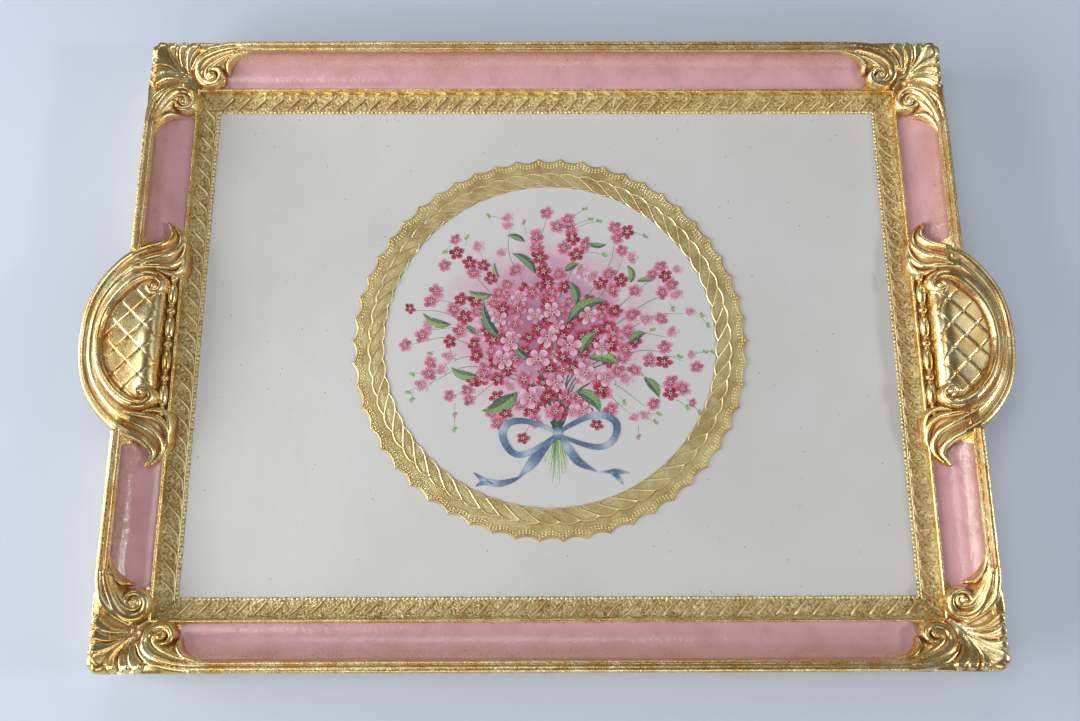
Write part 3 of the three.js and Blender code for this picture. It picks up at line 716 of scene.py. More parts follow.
def repeated_groove(s, w, rib, pitch):
    """Depth of a shallow groove beside a rib that repeats along s."""
    route = catmull_rom([(*row, 0.0) for row in rib])
    depth = np.zeros(s.shape)
    phase = s % pitch
    for shift in (-pitch, 0, pitch):
        q, _, side = near_route(phase + shift, w, route)
        depth = np.maximum(depth, np.exp(-(((q - 2.2) / 1.2) ** 2)) * (side > 0))
    return 0.14 * depth


def border_fillet(w):
    """How far the border's ground sweeps up against the rail's lip."""
    return 2.4 * np.exp(-(w - 24.6) / 1.6)


def border_top(s, w, half, vein, seed):
    ground = RELIEF_FLOOR + border_fillet(w) + 0.05 * wobble(s * 1.7 + w * 2.1, seed)
    height = ground - repeated_groove(s, w, vein, VEIN_PITCH)
    edge = BORDER_TO + 0.3 * wobble(s * 1.3, seed + 4)
    outside = np.maximum.reduce([BORDER_FROM - w, w - edge, np.abs(s) - (half - w) + 0.1])
    return BOARD_TOP + np.minimum(height, 0.35 - 2.2 * outside + border_fillet(w))


def border_ribs(side, burnished_highlit_gold, half, vein, flip, seed):
    """The slanting ribs, the thin line and the row of beads along one side's border."""
    ribs = Relief((0, 0), BOARD_TOP + RELIEF_FLOOR - 0.12)
    last = int(half / VEIN_PITCH)
    for turn in range(-last, last + 1):
        waver = [0.25 * wobble(turn * 1.9 + k, seed) for k in range(len(vein))]
        places = [turn * VEIN_PITCH + row[0] + shift for row, shift in zip(vein, waver)]
        if max(abs(place) + row[1] for place, row in zip(places, vein)) > half - 0.6:
            continue
        points = [side_turn(side, flip * place, row[1]) for place, row in zip(places, vein)]
        lifts = [border_fillet(row[1]) for row in vein]
        # Each rib gets painted shade down one side, the side picked by flip.
        ribs.blade(points, [row[2] + 0.16 for row in vein], 0.06, 0.7, 9, 4, shaded_side=flip, lifts=lifts)
    if side in SHORT_SIDES:
        reach = half - 33.6
        places = np.linspace(-reach, reach, int(reach / 1.5))
        line = [side_turn(side, place, BORDER_LINE + 0.16 * wobble(place, seed + 1)) for place in places]
        ribs.blade(line, [0.36] * len(line), 0.04, crown=0.3, columns=5, per_span=2)
    count = int(2 * (half - BORDER_TO + 0.6) / BEAD_PITCH)
    for k in range(count + 1):
        place = (k - count / 2) * BEAD_PITCH
        inward = BORDER_BEADS + 0.22 * wobble(place * 0.9, seed + 3)
        x, y = side_turn(side, place + 0.3 * wobble(place * 0.7, seed + 2), inward)
        ribs.bead(x, y, 0.82 + 0.12 * wobble(place, seed), 0.62)
    ribs.piece(f"gesso_border_ribs_{side}", burnished_highlit_gold, f"border_{side}", "matte_gilding")


def border_strip(side, gold, burnished_highlit_gold):
    """One mitred side of the border: its stippled ground and what stands on it."""
    short = side in SHORT_SIDES
    half, vein, flip = (HALF_Y, SHORT_VEIN, -1) if short else (HALF_X, LONG_VEIN, 1)
    seed = BORDER_SEEDS[side]
    along = np.arange(-half + BORDER_FROM - 0.3, half - BORDER_FROM + 0.5, 0.45)
    over = np.arange(BORDER_FROM - 0.4, BORDER_TO + 1.0, 0.4)

    def top(s, w):
        return border_top(flip * s, w, half, vein, seed)

    verts, faces, cavity = relief_solid(along, over, top, ground_bottom)
    x, y = side_turn(side, verts[:, 0], verts[:, 1])
    past_fillet = np.clip(verts[:, 1] / 2 - 13.5, 0, 1)
    values, placed = {"cavity": 2 * cavity * past_fillet}, np.stack([x, y, verts[:, 2]], 1)
    link(f"gesso_border_{side}", placed, faces, gold, f"border_{side}", "matte_gilding", values)
    border_ribs(side, burnished_highlit_gold, half, vein, flip, seed)


def ground_bottom(a, b):
    """The underside of the border's and the ring's grounds, just inside the board."""
    return np.full(a.shape, BOARD_TOP - GROUND_SUNK)


# ---- Medallion ring ----
ROPE_MIDDLE = 92.6
ROPE_INNER = 89.7
ROPE_OUTER = 95.7
ROPE_PITCH = TAU * ROPE_MIDDLE / ROPE_TURNS
# Each row of a strand is its place along the rope, its radius and its half-width.
ROPE_STRAND = [
    (0.0, ROPE_INNER, 0.3), (1.8, 90.7, 0.34), (4.8, ROPE_MIDDLE, 0.36), (7.6, 94.4, 0.34),
    (9.6, ROPE_OUTER, 0.3),
]


def round_medallion(r, angle, z):
    """Points from their distance and direction from the medallion's middle, and their height."""
    return np.stack([MEDALLION[0] + r * np.cos(angle), MEDALLION[1] + r * np.sin(angle), z], 1)


def rope_edges(s):
    """Radii of the rope's inner and outer edges, which bulge round each strand."""
    inner = ROPE_INNER - 1.1 * np.abs(np.sin(math.pi * s / ROPE_PITCH))
    outer = ROPE_OUTER + 1.2 * np.abs(np.sin(math.pi * (s - ROPE_STRAND[-1][0]) / ROPE_PITCH))
    return inner, outer


def scallop_edge(s):
    """Radius of the ring's outer edge: shallow hollows that meet in outward points."""
    phase = (s * SCALLOPS / TAU) % 1
    return RING_POINT - 2.3 * (1 - (2 * phase - 1) ** 2) ** 0.9


def ring_top(r, angle):
    edge = scallop_edge(angle)
    s = angle * ROPE_MIDDLE
    ground = RELIEF_FLOOR + 0.04 * wobble(6 * np.sin(angle * 7) + r, 3)
    inner, outer = rope_edges(s)
    swell = 0.3 * np.exp(-(((r - ROPE_MIDDLE) / 2.8) ** 2))
    ditch = 0.2 * np.exp(-(((r - outer - 0.8) / 0.45) ** 2))
    height = ground + (swell - ditch) - repeated_groove(s, r, ROPE_STRAND, ROPE_PITCH)
    wire = RELIEF_FLOOR + 0.45 - 0.6 * ((r - edge + 0.85) / 0.6) ** 2
    height = blend_max(height, wire, 0.1)
    outside = np.maximum(inner - 0.3 - r, r - edge)
    return BOARD_TOP + np.minimum(height, 0.4 - 2.2 * outside)


def ring_ribs(burnished_highlit_gold):
    """The rope's raised lines, its two edges, and the beads that follow the scallops."""
    ribs = Relief(MEDALLION, BOARD_TOP + RELIEF_FLOOR - 0.1)

    def place(s, r):
        return r * math.cos(s / ROPE_MIDDLE), r * math.sin(s / ROPE_MIDDLE)

    for turn in range(ROPE_TURNS):
        points = [place(a + turn * ROPE_PITCH, r) for a, r, _ in ROPE_STRAND]
        # Each strand of the rope gets painted shade down one side.
        ribs.blade(points, [half + 0.22 for *_, half in ROPE_STRAND], 0.2, 0.5, 9, 5, shaded_side=1.0)
    steps_each = 14
    places = np.arange(steps_each * ROPE_TURNS + 1) * ROPE_PITCH / steps_each
    for edge, half in zip(rope_edges(places), (0.44, 0.56)):
        ribs.blade([place(a, r) for a, r in zip(places, edge)], [half] * len(places), 0.1, 0.65, 7, 1)
    beads = SCALLOPS * BEADS_EACH
    for angle in (k * TAU / beads for k in range(beads)):
        for inset in (2.0, 3.3):
            r = scallop_edge(angle) - inset
            ribs.bead(r * math.cos(angle), r * math.sin(angle), 0.54, 0.7, 8)
    ribs.piece("gesso_ring_ribs", burnished_highlit_gold, "medallion_ring", "matte_gilding")


def medallion_ring(gold, burnished_highlit_gold):
    """The ring's ground, made flat as radius and angle and then rolled round, and what stands on it."""
    angles = np.linspace(0, TAU, 1101)
    radii = np.arange(87.8, RING_POINT + 0.6, 0.47)
    verts, faces, cavity = join_seam(*relief_solid(radii, angles, ring_top, ground_bottom))
    r, angle, z = verts.T
    values, placed = {"cavity": 2.5 * cavity}, round_medallion(r, angle, z)
    link("gesso_medallion_ring", placed, faces, gold, "medallion_ring", "matte_gilding", values)
    ring_ribs(burnished_highlit_gold)


def join_seam(verts, faces, cavity):
    """Welds the points at a full turn to their twins at angle 0."""

    def places(angle):
        found = np.flatnonzero(np.isclose(verts[:, 1], angle))
        return [(i, tuple(np.round(verts[i, [0, 2]], 4))) for i in found]

    twins = {place: i for i, place in places(0)}
    target = np.arange(len(verts))
    for i, place in places(TAU):
        target[i] = twins.get(place, i)
    used, inverse = np.unique(target[faces], return_inverse=True)
    return verts[used], inverse.reshape(faces.shape), cavity[used]


# ---- Materials ----


def linear(red, green, blue):
    """A colour from 0-255 display values, as the linear colour the shaders use."""
    parts = [c / 255 for c in (red, green, blue)]
    return tuple(p / 12.92 if p <= 0.04045 else ((p + 0.055) / 1.055) ** 2.4 for p in parts) + (1.0,)


LEAF_LIGHT = linear(252, 233, 178)
LEAF_DEEP = linear(228, 186, 112)
BOLE = linear(188, 112, 56)
BOLE_DARK = linear(136, 76, 36)
MATTE_LIGHT = linear(230, 213, 158)
MATTE_DEEP = linear(194, 169, 111)
# Painted shade for the stipple's pits, in a bole colour, and a painted glint colour for its peaks and the
# ribs' pale leaf.
STIPPLE_PIT_SHADE = linear(146, 110, 62)
GLINT_CREAM = linear(255, 246, 206)
PINK_SOFT = linear(226, 174, 180)
PINK_WARM = linear(216, 166, 160)
PINK_DEEP = linear(160, 104, 84)
IVORY = linear(220, 220, 219)
IVORY_SHADE = linear(213, 213, 211)
SPECK = linear(120, 104, 84)
RAW_WOOD = linear(196, 160, 116)
RAW_WOOD_DARK = linear(150, 112, 74)
STEEL = linear(150, 147, 140)
RUST = linear(104, 78, 58)
BURNISHED = 0.19  # roughness of well rubbed leaf


class Graph:
    """A material's node tree, built by short calls. Places are in metres, so scales are per metre."""

    def __init__(self, name):
        self.material = bpy.data.materials.new(name)
        self.material.use_nodes = True
        self.tree = self.material.node_tree
        self.shader = self.tree.nodes["Principled BSDF"]
        self.place = self.add("ShaderNodeTexCoord").outputs["Object"]

    def add(self, kind, **settings):
        node = self.tree.nodes.new(kind)
        for key, value in settings.items():
            setattr(node, key, value)
        return node

    def feed(self, socket, value):
        if isinstance(value, bpy.types.NodeSocket):
            self.tree.links.new(value, socket)
        else:
            socket.default_value = value

    def math(self, operation, a, b=0.0):
        node = self.add("ShaderNodeMath", operation=operation)
        self.feed(node.inputs[0], a)
        self.feed(node.inputs[1], b)
        return node.outputs[0]

    def times(self, a, b):
        return self.math("MULTIPLY", a, b)

    def plus(self, a, b):
        return self.math("ADD", a, b)

    def sway(self, noise, reach):
        """A noise as a shift of up to half of reach either way."""
        return self.times(self.math("SUBTRACT", noise, 0.5), reach)

    def noise(self, scale, detail=3.0, rough=0.55, stretch=None):
        node = self.add("ShaderNodeTexNoise")
        for name, value in (("Scale", scale), ("Detail", detail), ("Roughness", rough)):
            node.inputs[name].default_value = value
        source = self.place
        if stretch:
            mapping = self.add("ShaderNodeMapping")
            mapping.inputs["Scale"].default_value = stretch
            self.feed(mapping.inputs["Vector"], source)
            source = mapping.outputs[0]
        self.feed(node.inputs["Vector"], source)
        return node.outputs["Fac"]

    def spots(self, scale, size, soft):
        """1 inside small round spots scattered at random, 0 between them."""
        cells = self.add("ShaderNodeTexVoronoi")
        cells.inputs["Scale"].default_value = scale
        self.feed(cells.inputs["Vector"], self.place)
        return self.ramp(cells.outputs["Distance"], size + soft, size)

    def ramp(self, value, low, high):
        """0 at low and 1 at high, smoothly, for either order of low and high."""
        node = self.add("ShaderNodeMapRange", interpolation_type="SMOOTHSTEP")
        ends = (high, low, 1.0, 0.0) if low > high else (low, high, 0.0, 1.0)
        for socket, number in zip(node.inputs[1:5], ends):
            socket.default_value = number
        self.feed(node.inputs[0], value)
        return node.outputs[0]

    def mix(self, factor, a, b, kind="RGBA", sockets=(0, 6, 7), out=2):
        node = self.add("ShaderNodeMix", data_type=kind)
        for index, value in zip(sockets, (factor, a, b)):
            self.feed(node.inputs[index], value)
        return node.outputs[out]

    def between(self, factor, a, b):
        """A number mixed from two others."""
        return self.mix(factor, a, b, "FLOAT", (0, 2, 3), 0)

    def attribute(self, name, output="Fac"):
        return self.add("ShaderNodeAttribute", attribute_name=name).outputs[output]

    def varnish(self):
        """The roughness of smooth varnish."""
        return self.between(self.noise(260, 3), 0.26, 0.4)

    def bump(self, height, depth, before=None):
        """depth is the height of the relief in metres."""
        node = self.add("ShaderNodeBump")
        node.inputs["Distance"].default_value = depth
        self.feed(node.inputs["Height"], height)
        if before:
            self.feed(node.inputs["Normal"], before)
        return node.outputs["Normal"]

    def finish(self, color, roughness, metallic=0.0, normal=None):
        self.feed(self.shader.inputs["Base Color"], color)
        self.feed(self.shader.inputs["Roughness"], roughness)
        self.feed(self.shader.inputs["Metallic"], metallic)
        if normal:
            self.feed(self.shader.inputs["Normal"], normal)
        return self.material


def gold_parts(g, light, deep, shine, hollows=(0.15, 0.8)):
    """Colour, roughness, metalness and two noises of leaf over red bole, rubbed through in spots; in the
    hollows it turns bole-coloured, partly real bole and partly painted shade.
    """
    cloud = g.noise(90, 4)
    grain = g.noise(1400, 3, 0.7)
    crinkle = g.noise(420, 4, 0.65)
    leaf = g.mix(g.ramp(cloud, 0.3, 0.7), deep, light)
    # Painted shade in the hollows: the cavity value turns the leaf to bole colour there, which is partly
    # real bole.
    hollow = g.ramp(g.plus(g.attribute("cavity"), g.sway(crinkle, 0.5)), *hollows)
    rubbed = g.times(g.ramp(crinkle, 0.62, 0.74), g.ramp(cloud, 0.45, 0.65))
    worn_and_shaded = g.math("MAXIMUM", g.times(hollow, 0.85), g.times(rubbed, 0.5))
    clay = g.mix(g.ramp(grain, 0.35, 0.65), BOLE_DARK, BOLE)
    color = g.mix(worn_and_shaded, leaf, clay)
    roughness = g.between(worn_and_shaded, g.between(crinkle, shine, shine + 0.16), 0.6)
    return color, roughness, g.between(worn_and_shaded, 1.0, 0.35), crinkle, grain


def bright_gold():
    g = Graph("bright_gilding")
    *surface, crinkle, grain = gold_parts(g, LEAF_LIGHT, LEAF_DEEP, BURNISHED)
    dents = g.bump(g.noise(150, 2), 0.0001)
    return g.finish(*surface, g.bump(grain, 0.00004, g.bump(crinkle, 0.00005, dents)))


def rib_gold():
    """The leaf on raised lines and beads, polished by handling and painted a paler cream as a highlight,
    with painted shade down one side of each line.
    """
    g = Graph("burnished_gilding_painted_highlight")
    # Painted highlight: the pale cream leaf colour; these cavity ends pick out only the painted shade down
    # one side of each line.
    *surface, _, grain = gold_parts(g, GLINT_CREAM, LEAF_LIGHT, 0.24, (0.6, 1.2))
    return g.finish(*surface, g.bump(grain, 0.00008))


def matte_gold(name, scale, depth, contrast):
    """Leaf over stippled gesso, with painted shade in the stipple's pits and painted glints on its peaks;
    depth is the stipple's height in metres.
    """
    g = Graph(name)
    color, roughness, metallic, crinkle, _ = gold_parts(g, MATTE_LIGHT, MATTE_DEEP, 0.36, (0.2, 0.6))
    stipple = g.noise(scale, 2, 0.8)
    # Painted shade in the stipple's pits and painted glints on its peaks.
    for ends, tone in (((0.5, 0.36), STIPPLE_PIT_SHADE), ((0.52, 0.64), GLINT_CREAM)):
        color = g.mix(g.times(g.ramp(stipple, *ends), contrast), color, tone)
    return g.finish(color, roughness, metallic, g.bump(stipple, depth, g.bump(crinkle, 0.0001)))


def rose_lacquer():
    """Gilded beads and lip with a glossy pink cove between them, speckled towards its outer edge."""
    g = Graph("rose_lacquer")
    gilt, gilt_rough, gilt_metal, crinkle, grain = gold_parts(g, LEAF_LIGHT, LEAF_DEEP, BURNISHED)
    w, along = g.attribute("across"), g.attribute("along")
    fray = g.noise(700, 4, 0.7)
    waver = g.plus(w, g.sway(fray, 1.5))
    over = g.times(g.ramp(waver, 5.5, 6.0), g.ramp(waver, COVE_END, COVE_END - 0.5))
    from_middle = g.math("ABSOLUTE", g.math("DIVIDE", g.math("SUBTRACT", w, 13.0), 10.0))
    start = g.plus(g.times(g.math("POWER", from_middle, 2.5), 4.0), PINK_START)
    past = g.plus(g.math("SUBTRACT", along, start), g.sway(fray, 3.0))
    pink_zone = g.times(over, g.ramp(past, -0.4, 0.6))
    warm = g.ramp(g.plus(w, g.sway(g.noise(240, 5, 0.7), 9.0)), 13.5, 8.0)
    pink = g.mix(warm, PINK_SOFT, PINK_WARM)
    pink = g.mix(g.times(g.ramp(g.noise(60, 3), 0.4, 0.75), 0.25), pink, PINK_DEEP)
    # Darker pink along the pink's outer edge and where it starts near the corners, and dark specks towards
    # the outer edge.
    rim = g.math("MAXIMUM", g.ramp(waver, 7.4, 5.8), g.ramp(past, 3.0, 0.0))
    dust = g.plus(g.noise(1300, 3, 0.75), g.times(g.noise(130, 2), 0.35))
    speckle = g.times(g.ramp(dust, 0.72, 0.84), g.ramp(w, 15.0, 7.0))
    dark_edges_and_specks = g.math("MAXIMUM", g.times(rim, 0.7), g.times(speckle, 0.75))
    color = g.mix(pink_zone, gilt, g.mix(dark_edges_and_specks, pink, PINK_DEEP))
    roughness = g.between(pink_zone, gilt_rough, g.between(g.noise(500, 3), 0.05, 0.15))
    ripple = g.between(pink_zone, crinkle, g.noise(240, 4, 0.65))
    fine = g.between(pink_zone, grain, g.noise(900, 2))
    metallic = g.between(pink_zone, gilt_metal, 0.0)
    return g.finish(color, roughness, metallic, g.bump(fine, 0.00006, g.bump(ripple, 0.00034)))


def cream_lacquer():
    """Ivory lacquer with fine dark specks on top, and bare wood on the underside."""
    g = Graph("cream_lacquer")
    ivory = g.mix(g.ramp(g.noise(14, 4), 0.35, 0.7), IVORY, IVORY_SHADE)
    specks = g.times(g.spots(190, 0.045, 0.05), g.ramp(g.noise(60, 2), 0.5, 0.56))
    ivory = g.mix(g.times(specks, 0.75), ivory, SPECK)
    grain = g.noise(30, 6, 0.65, stretch=(1.2, 30.0, 4.0))
    fibre = g.noise(160, 3, 0.6, stretch=(0.5, 26.0, 8.0))
    wood = g.mix(g.ramp(g.between(0.35, grain, fibre), 0.35, 0.68), RAW_WOOD, RAW_WOOD_DARK)
    height = g.add("ShaderNodeSeparateXYZ")
    g.feed(height.inputs[0], g.place)
    topside = g.ramp(height.outputs["Z"], (BOARD_TOP - 0.4) * MM, (BOARD_TOP - 0.1) * MM)
    color = g.mix(topside, wood, ivory)
    roughness = g.between(topside, 0.75, g.varnish())
    relief = g.between(topside, fibre, g.noise(110, 4))
    return g.finish(color, roughness, 0.0, g.bump(relief, 0.00012))


def print_ground():
    """The disc under the bouquet: ivory with a soft pink and lilac wash behind the flowers."""
    g = Graph("print_ground")
    middle = g.add("ShaderNodeMapping")
    middle.inputs["Location"].default_value = (-MEDALLION[0] * MM, -(MEDALLION[1] + 8) * MM, 0)
    g.feed(middle.inputs["Vector"], g.place)
    flat = g.add("ShaderNodeVectorMath", operation="MULTIPLY")
    g.feed(flat.inputs[0], middle.outputs[0])
    flat.inputs[1].default_value = (1.0, 1.15, 0.0)
    length = g.add("ShaderNodeVectorMath", operation="LENGTH")
    g.feed(length.inputs[0], flat.outputs[0])
    ragged = g.plus(length.outputs["Value"], g.sway(g.noise(45, 4, 0.6), 0.05))
    wash = g.times(g.ramp(ragged, 0.07, 0.03), g.ramp(g.noise(70, 3), 0.2, 0.5))
    pale = g.mix(g.ramp(g.noise(38, 3), 0.4, 0.62), linear(228, 160, 188), linear(212, 160, 198))
    deep = g.mix(g.ramp(g.noise(110, 3), 0.45, 0.62), linear(176, 84, 122), linear(150, 92, 124))
    color = g.mix(g.times(wash, 0.8), IVORY, pale)
    color = g.mix(g.times(g.ramp(ragged, 0.046, 0.012), 0.75), color, deep)
    return g.finish(color, g.varnish(), 0.0, g.bump(g.noise(110, 4), 0.0001))


def flower_paint():
    """Varnished paint whose colour is kept on the mesh, with a little brush mottling."""
    g = Graph("flower_paint")
    mottling = g.times(g.ramp(g.noise(900, 3), 0.45, 0.8), 0.22)
    color = g.mix(mottling, g.attribute("paint", "Color"), linear(250, 240, 240))
    return g.finish(color, g.varnish(), 0.0, g.bump(g.noise(600, 2), 0.00004))


def plain_steel():
    g = Graph("plain_steel")
    rust = g.ramp(g.noise(500, 4, 0.7), 0.55, 0.75)
    color = g.mix(rust, STEEL, RUST)
    relief = g.bump(g.noise(1500, 3), 0.00005)
    return g.finish(color, g.between(rust, 0.38, 0.75), g.between(rust, 1.0, 0.2), relief)


def floor_material():
    g = Graph("studio_floor")
    color = g.mix(g.ramp(g.noise(3, 2), 0.3, 0.7), linear(206, 217, 236), linear(211, 221, 240))
    return g.finish(color, 0.7)


# ---- Board, print and fasteners ----
def print_disc(ground):
    """The printed disc, a thin smooth plate with a softened edge, in place of the plain CAD one."""
    radius = (PRINT_BOX[1].x - PRINT_BOX[0].x) / 2 / MM + 0.5
    steps, soft_edge = 180, 0.12
    rings = [(radius, BOARD_TOP), (radius, PRINT_TOP - soft_edge), (radius - soft_edge, PRINT_TOP)]
    rings += [(radius * part, PRINT_TOP) for part in (0.75, 0.5, 0.25)]
    r, z = (np.repeat(column, steps) for column in zip(*rings))
    angle = np.tile(np.arange(steps) * TAU / steps, len(rings))
    verts, faces = round_medallion(r, angle, z), tube_faces(len(rings), steps)
    link("print_disc", verts, faces, ground, "bouquet_print", "painted_flowers", sharp=25)


def finish_cad_nodes(board, steel):
    """The board and the fasteners keep their CAD shapes and get their finishes."""
    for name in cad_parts:
        material = board if name == "base_panel" else steel
        if name == "base_panel" or name.startswith(("v_nail", "panel_pin", "handle_screw")):
            node = bpy.data.objects[name]
            for slot in node.material_slots:
                slot.link = "OBJECT"
                slot.material = material


# ---- Bouquet ----
# Places are in mm from the medallion's centre. The paint stands a few tenths of a millimetre proud.
PETAL_TONES = {
    "pale": (linear(242, 210, 226), linear(228, 168, 194), linear(170, 66, 108)),
    "mid": (linear(234, 170, 192), linear(208, 108, 144), linear(146, 36, 76)),
    "crimson": (linear(206, 92, 124), linear(170, 30, 66), linear(112, 12, 40)),
}
STAR = linear(248, 238, 212)
EYE = linear(60, 30, 36)
LEAF_GREENS = (linear(44, 78, 76), linear(92, 130, 104), linear(158, 190, 112))
STEM_GREEN = (linear(120, 146, 112), linear(150, 176, 130))
RIBBON_BLUES = (linear(76, 102, 138), linear(112, 138, 170), linear(190, 202, 218))

# x, y, how many flowers, radius, tone: "p" pale, "m" middle, "c" crimson, "x" middle and crimson in turn
SPRAYS = [
    (-1.7, 73, 1, 4.4, "m"), (-23.5, 68, 2, 3.4, "p"), (8.5, 66, 3, 4.5, "m"), (38.5, 61.5, 3, 4.2, "x"),
    (42, 49, 2, 4.0, "m"), (-52, 57.5, 1, 3.7, "m"), (-51, 49.8, 1, 4.2, "x"), (-39.5, 53.3, 1, 3.8, "p"),
    (-27, 50, 1, 3.4, "p"), (-57.5, 42.5, 1, 4.0, "m"), (-40.5, 41.5, 3, 4.4, "x"),
    (-32, 35.2, 1, 4.3, "c"), (-7.5, 59.2, 1, 4.8, "m"), (-6.5, 50.2, 2, 4.7, "x"),
    (13.5, 53.5, 4, 4.7, "x"), (-18.5, 40, 1, 4.2, "m"), (0.0, 36.4, 3, 4.9, "x"),
    (19.8, 37.5, 2, 4.6, "p"), (-25.5, 29, 2, 4.5, "m"),
    (59.6, 38.5, 3, 4.2, "x"), (69, 40, 1, 3.3, "m"), (64.8, 28, 3, 4.2, "m"), (46, 28, 1, 4.0, "m"),
    (33, 33, 4, 4.5, "x"), (-63, 25, 2, 4.4, "m"), (-75.5, 18, 1, 3.4, "c"), (-45, 18.5, 5, 4.7, "x"),
    (-67, 6, 2, 4.5, "m"), (-48.5, 5.6, 1, 4.6, "m"), (-77.5, -2.3, 1, 3.9, "m"),
    (-53.7, -0.3, 1, 4.1, "c"), (-54, -8.5, 1, 4.2, "p"), (-40, -5, 2, 4.5, "c"), (-62, -15.2, 3, 4.3, "m"),
    (-68, -24, 1, 4.4, "m"), (-42.5, -24.5, 2, 4.1, "x"), (-53.5, -30, 1, 4.0, "m"),
    (-43, -32, 1, 3.9, "m"), (35, 16.5, 1, 4.6, "c"),
    (47.5, 13, 2, 4.5, "m"), (59.5, 12.3, 1, 4.3, "m"), (75, 16, 1, 3.5, "p"), (65, 4.7, 1, 4.0, "p"),
    (38.5, 0.5, 5, 4.7, "x"), (61, -3.7, 1, 4.3, "m"), (56.5, -11.2, 2, 4.5, "x"), (75, -8, 1, 3.3, "p"),
    (77.5, -14.5, 1, 3.9, "m"), (42, -18.5, 2, 4.5, "m"), (65.5, -26, 3, 4.3, "x"),
    (74.5, -34, 1, 2.8, "m"), (54, -34.5, 1, 3.9, "m"), (46.5, -41, 2, 3.2, "p"),
    (31.5, -37.5, 1, 4.8, "x"),
    (24, -45.5, 1, 3.6, "c"), (-27.5, -41, 3, 4.2, "x"), (-8.5, -43.5, 1, 4.4, "m"),
    (-14.5, -52.5, 1, 3.5, "c"), (26.5, -26.5, 1, 4.8, "c"), (17, -38, 1, 4.7, "m"),
]
BIG_FLOWERS = [
    (-25.5, -10.5, 5.4, "p"), (-35, -18, 5.0, "m"), (-21.5, -0.5, 5.6, "p"), (-17, 17.5, 5.4, "m"),
    (1, 16.2, 5.6, "p"), (1, 27, 5.2, "m"), (-9.5, 27, 4.8, "m"), (-1.5, 2, 6.0, "p"),
    (10.2, -2.7, 6.4, "p"), (-6.4, -10.3, 6.3, "p"), (-14, -21, 5.2, "m"), (2.7, -22.8, 6.0, "p"),
    (18.3, -17.5, 6.0, "p"), (29.5, -20.4, 5.3, "p"), (27.5, -3.8, 5.0, "p"), (20.6, 14, 5.2, "p"),
    (-11, -31, 6.0, "p"), (-1.6, -30.4, 5.0, "c"), (8.8, -31, 5.2, "m"), (6.7, -9.2, 4.8, "c"),
    (-27.4, 12, 4.9, "p"), (2.7, -38.4, 5.4, "m"),
]
# base x, base y, tip x, tip y, half-width, bend to the left, light
LEAVES = [
    (-14, 56.4, -23.4, 59.8, 1.7, -0.1, 0.3), (-7.7, 38, -20.7, 49.4, 2.3, -0.12, 0.1),
    (8.4, 39.3, 16, 43.5, 1.9, 0.1, 0.2), (21, 55.3, 31, 54.7, 1.5, -0.1, 0.4),
    (14.2, 20.4, 10.2, 33.4, 2.4, -0.12, 0.3), (9.6, 10.3, 31, 22.2, 3.2, 0.16, 0.3),
    (-28, 35.8, -30.3, 44, 1.0, 0.1, 0.8), (-31.8, 25.7, -44, 28, 2.4, 0.15, 0.7),
    (-26.8, 1.5, -36, 22, 2.8, 0.12, 0.0), (-53.4, 9.2, -68.4, 15.3, 2.3, 0.15, 0.6),
    (-38.4, -19.2, -52.8, -14.5, 2.4, 0.14, 0.7), (-17.6, -28, -36, -38, 4.2, 0.12, 0.4),
    (-11.8, -9.7, -18, -3.8, 2.2, 0.1, 0.0), (16.5, -6.8, 25.2, 4.4, 2.8, 0.14, 0.5),
    (20.6, -9.7, 36.2, -13.3, 3.0, 0.16, 0.8), (42, -1.5, 51.2, 4.4, 2.4, 0.12, 0.3),
    (49.5, -20.4, 57, -31, 2.4, 0.12, 0.4), (13.6, -27.5, 25.8, -38.7, 3.2, 0.16, 0.4),
    (43.7, 32.8, 42, 42.3, 1.7, -0.18, 0.7), (47.7, 33.4, 55.8, 33.4, 1.3, 0.12, 0.6),
    (-45, 8, -40, 3.6, 1.2, 0.1, 0.0),
]
# where a sprig starts, and the bud at its end
BUDS = [
    (-23, 68, -33, 71.5), (-13, 61, -14, 67), (10, 68, 19, 75), (14, 66, 22, 69), (16, 65, 26.5, 68),
    (42, 63, 51.5, 59.5), (22, 50, 29, 48.5), (-46, 54, -45.5, 58), (-54, 54, -57, 51),
    (-62, -6, -63.5, -6.5), (-70, -18, -72.5, -18), (-69, -25, -74.5, -27.5), (-72, -27, -73, -31),
    (-50, -34, -50.5, -39), (-50, -40, -50.5, -47),
    (73, 18, 81, 14.5), (80, 14, 84, 9), (64, 22, 65.5, 18.5), (76, -8, 82, -6.5), (82, -6.5, 86, -6.5),
    (62, -9, 68, -9), (72, -32, 77.5, -38.5), (66, -32, 71, -36), (48, -42, 54, -44), (47, -40, 56, -40),
    (46, -46, 45.5, -51), (36, -30, 38, -33), (53, 4, 54.5, 5.5),
]
STEM_ENDS = [
    (-52, 52), (-38, 50), (-22, 66), (-1.5, 70), (9, 62), (36, 59), (40, 47), (58, 36), (66, 26), (72, 15),
    (62, 2), (70, -11), (62, -27), (50, -36), (-60, 23), (-73, 17), (-64, 6), (-74, -2), (-60, -15),
    (-65, -24), (-50, -30), (-40, -31), (44, -42), (-14, -51),
]


HEART_COUNT = 86
HEART_GAP = 5.2
TIE = (3.4, -49.8)  # where the ribbon ties the stems


def mean_point(a, b, shift_x=0.0, shift_y=0.0):
    """The place halfway between two points, shifted."""
    return (a[0] + b[0]) / 2 + shift_x, (a[1] + b[1]) / 2 + shift_y


def tint(a, b, factor):
    """Mixes two colours, with factor as an array."""
    factor = np.clip(factor, 0, 1)[..., None]
    return np.asarray(a) * (1 - factor) + np.asarray(b) * factor


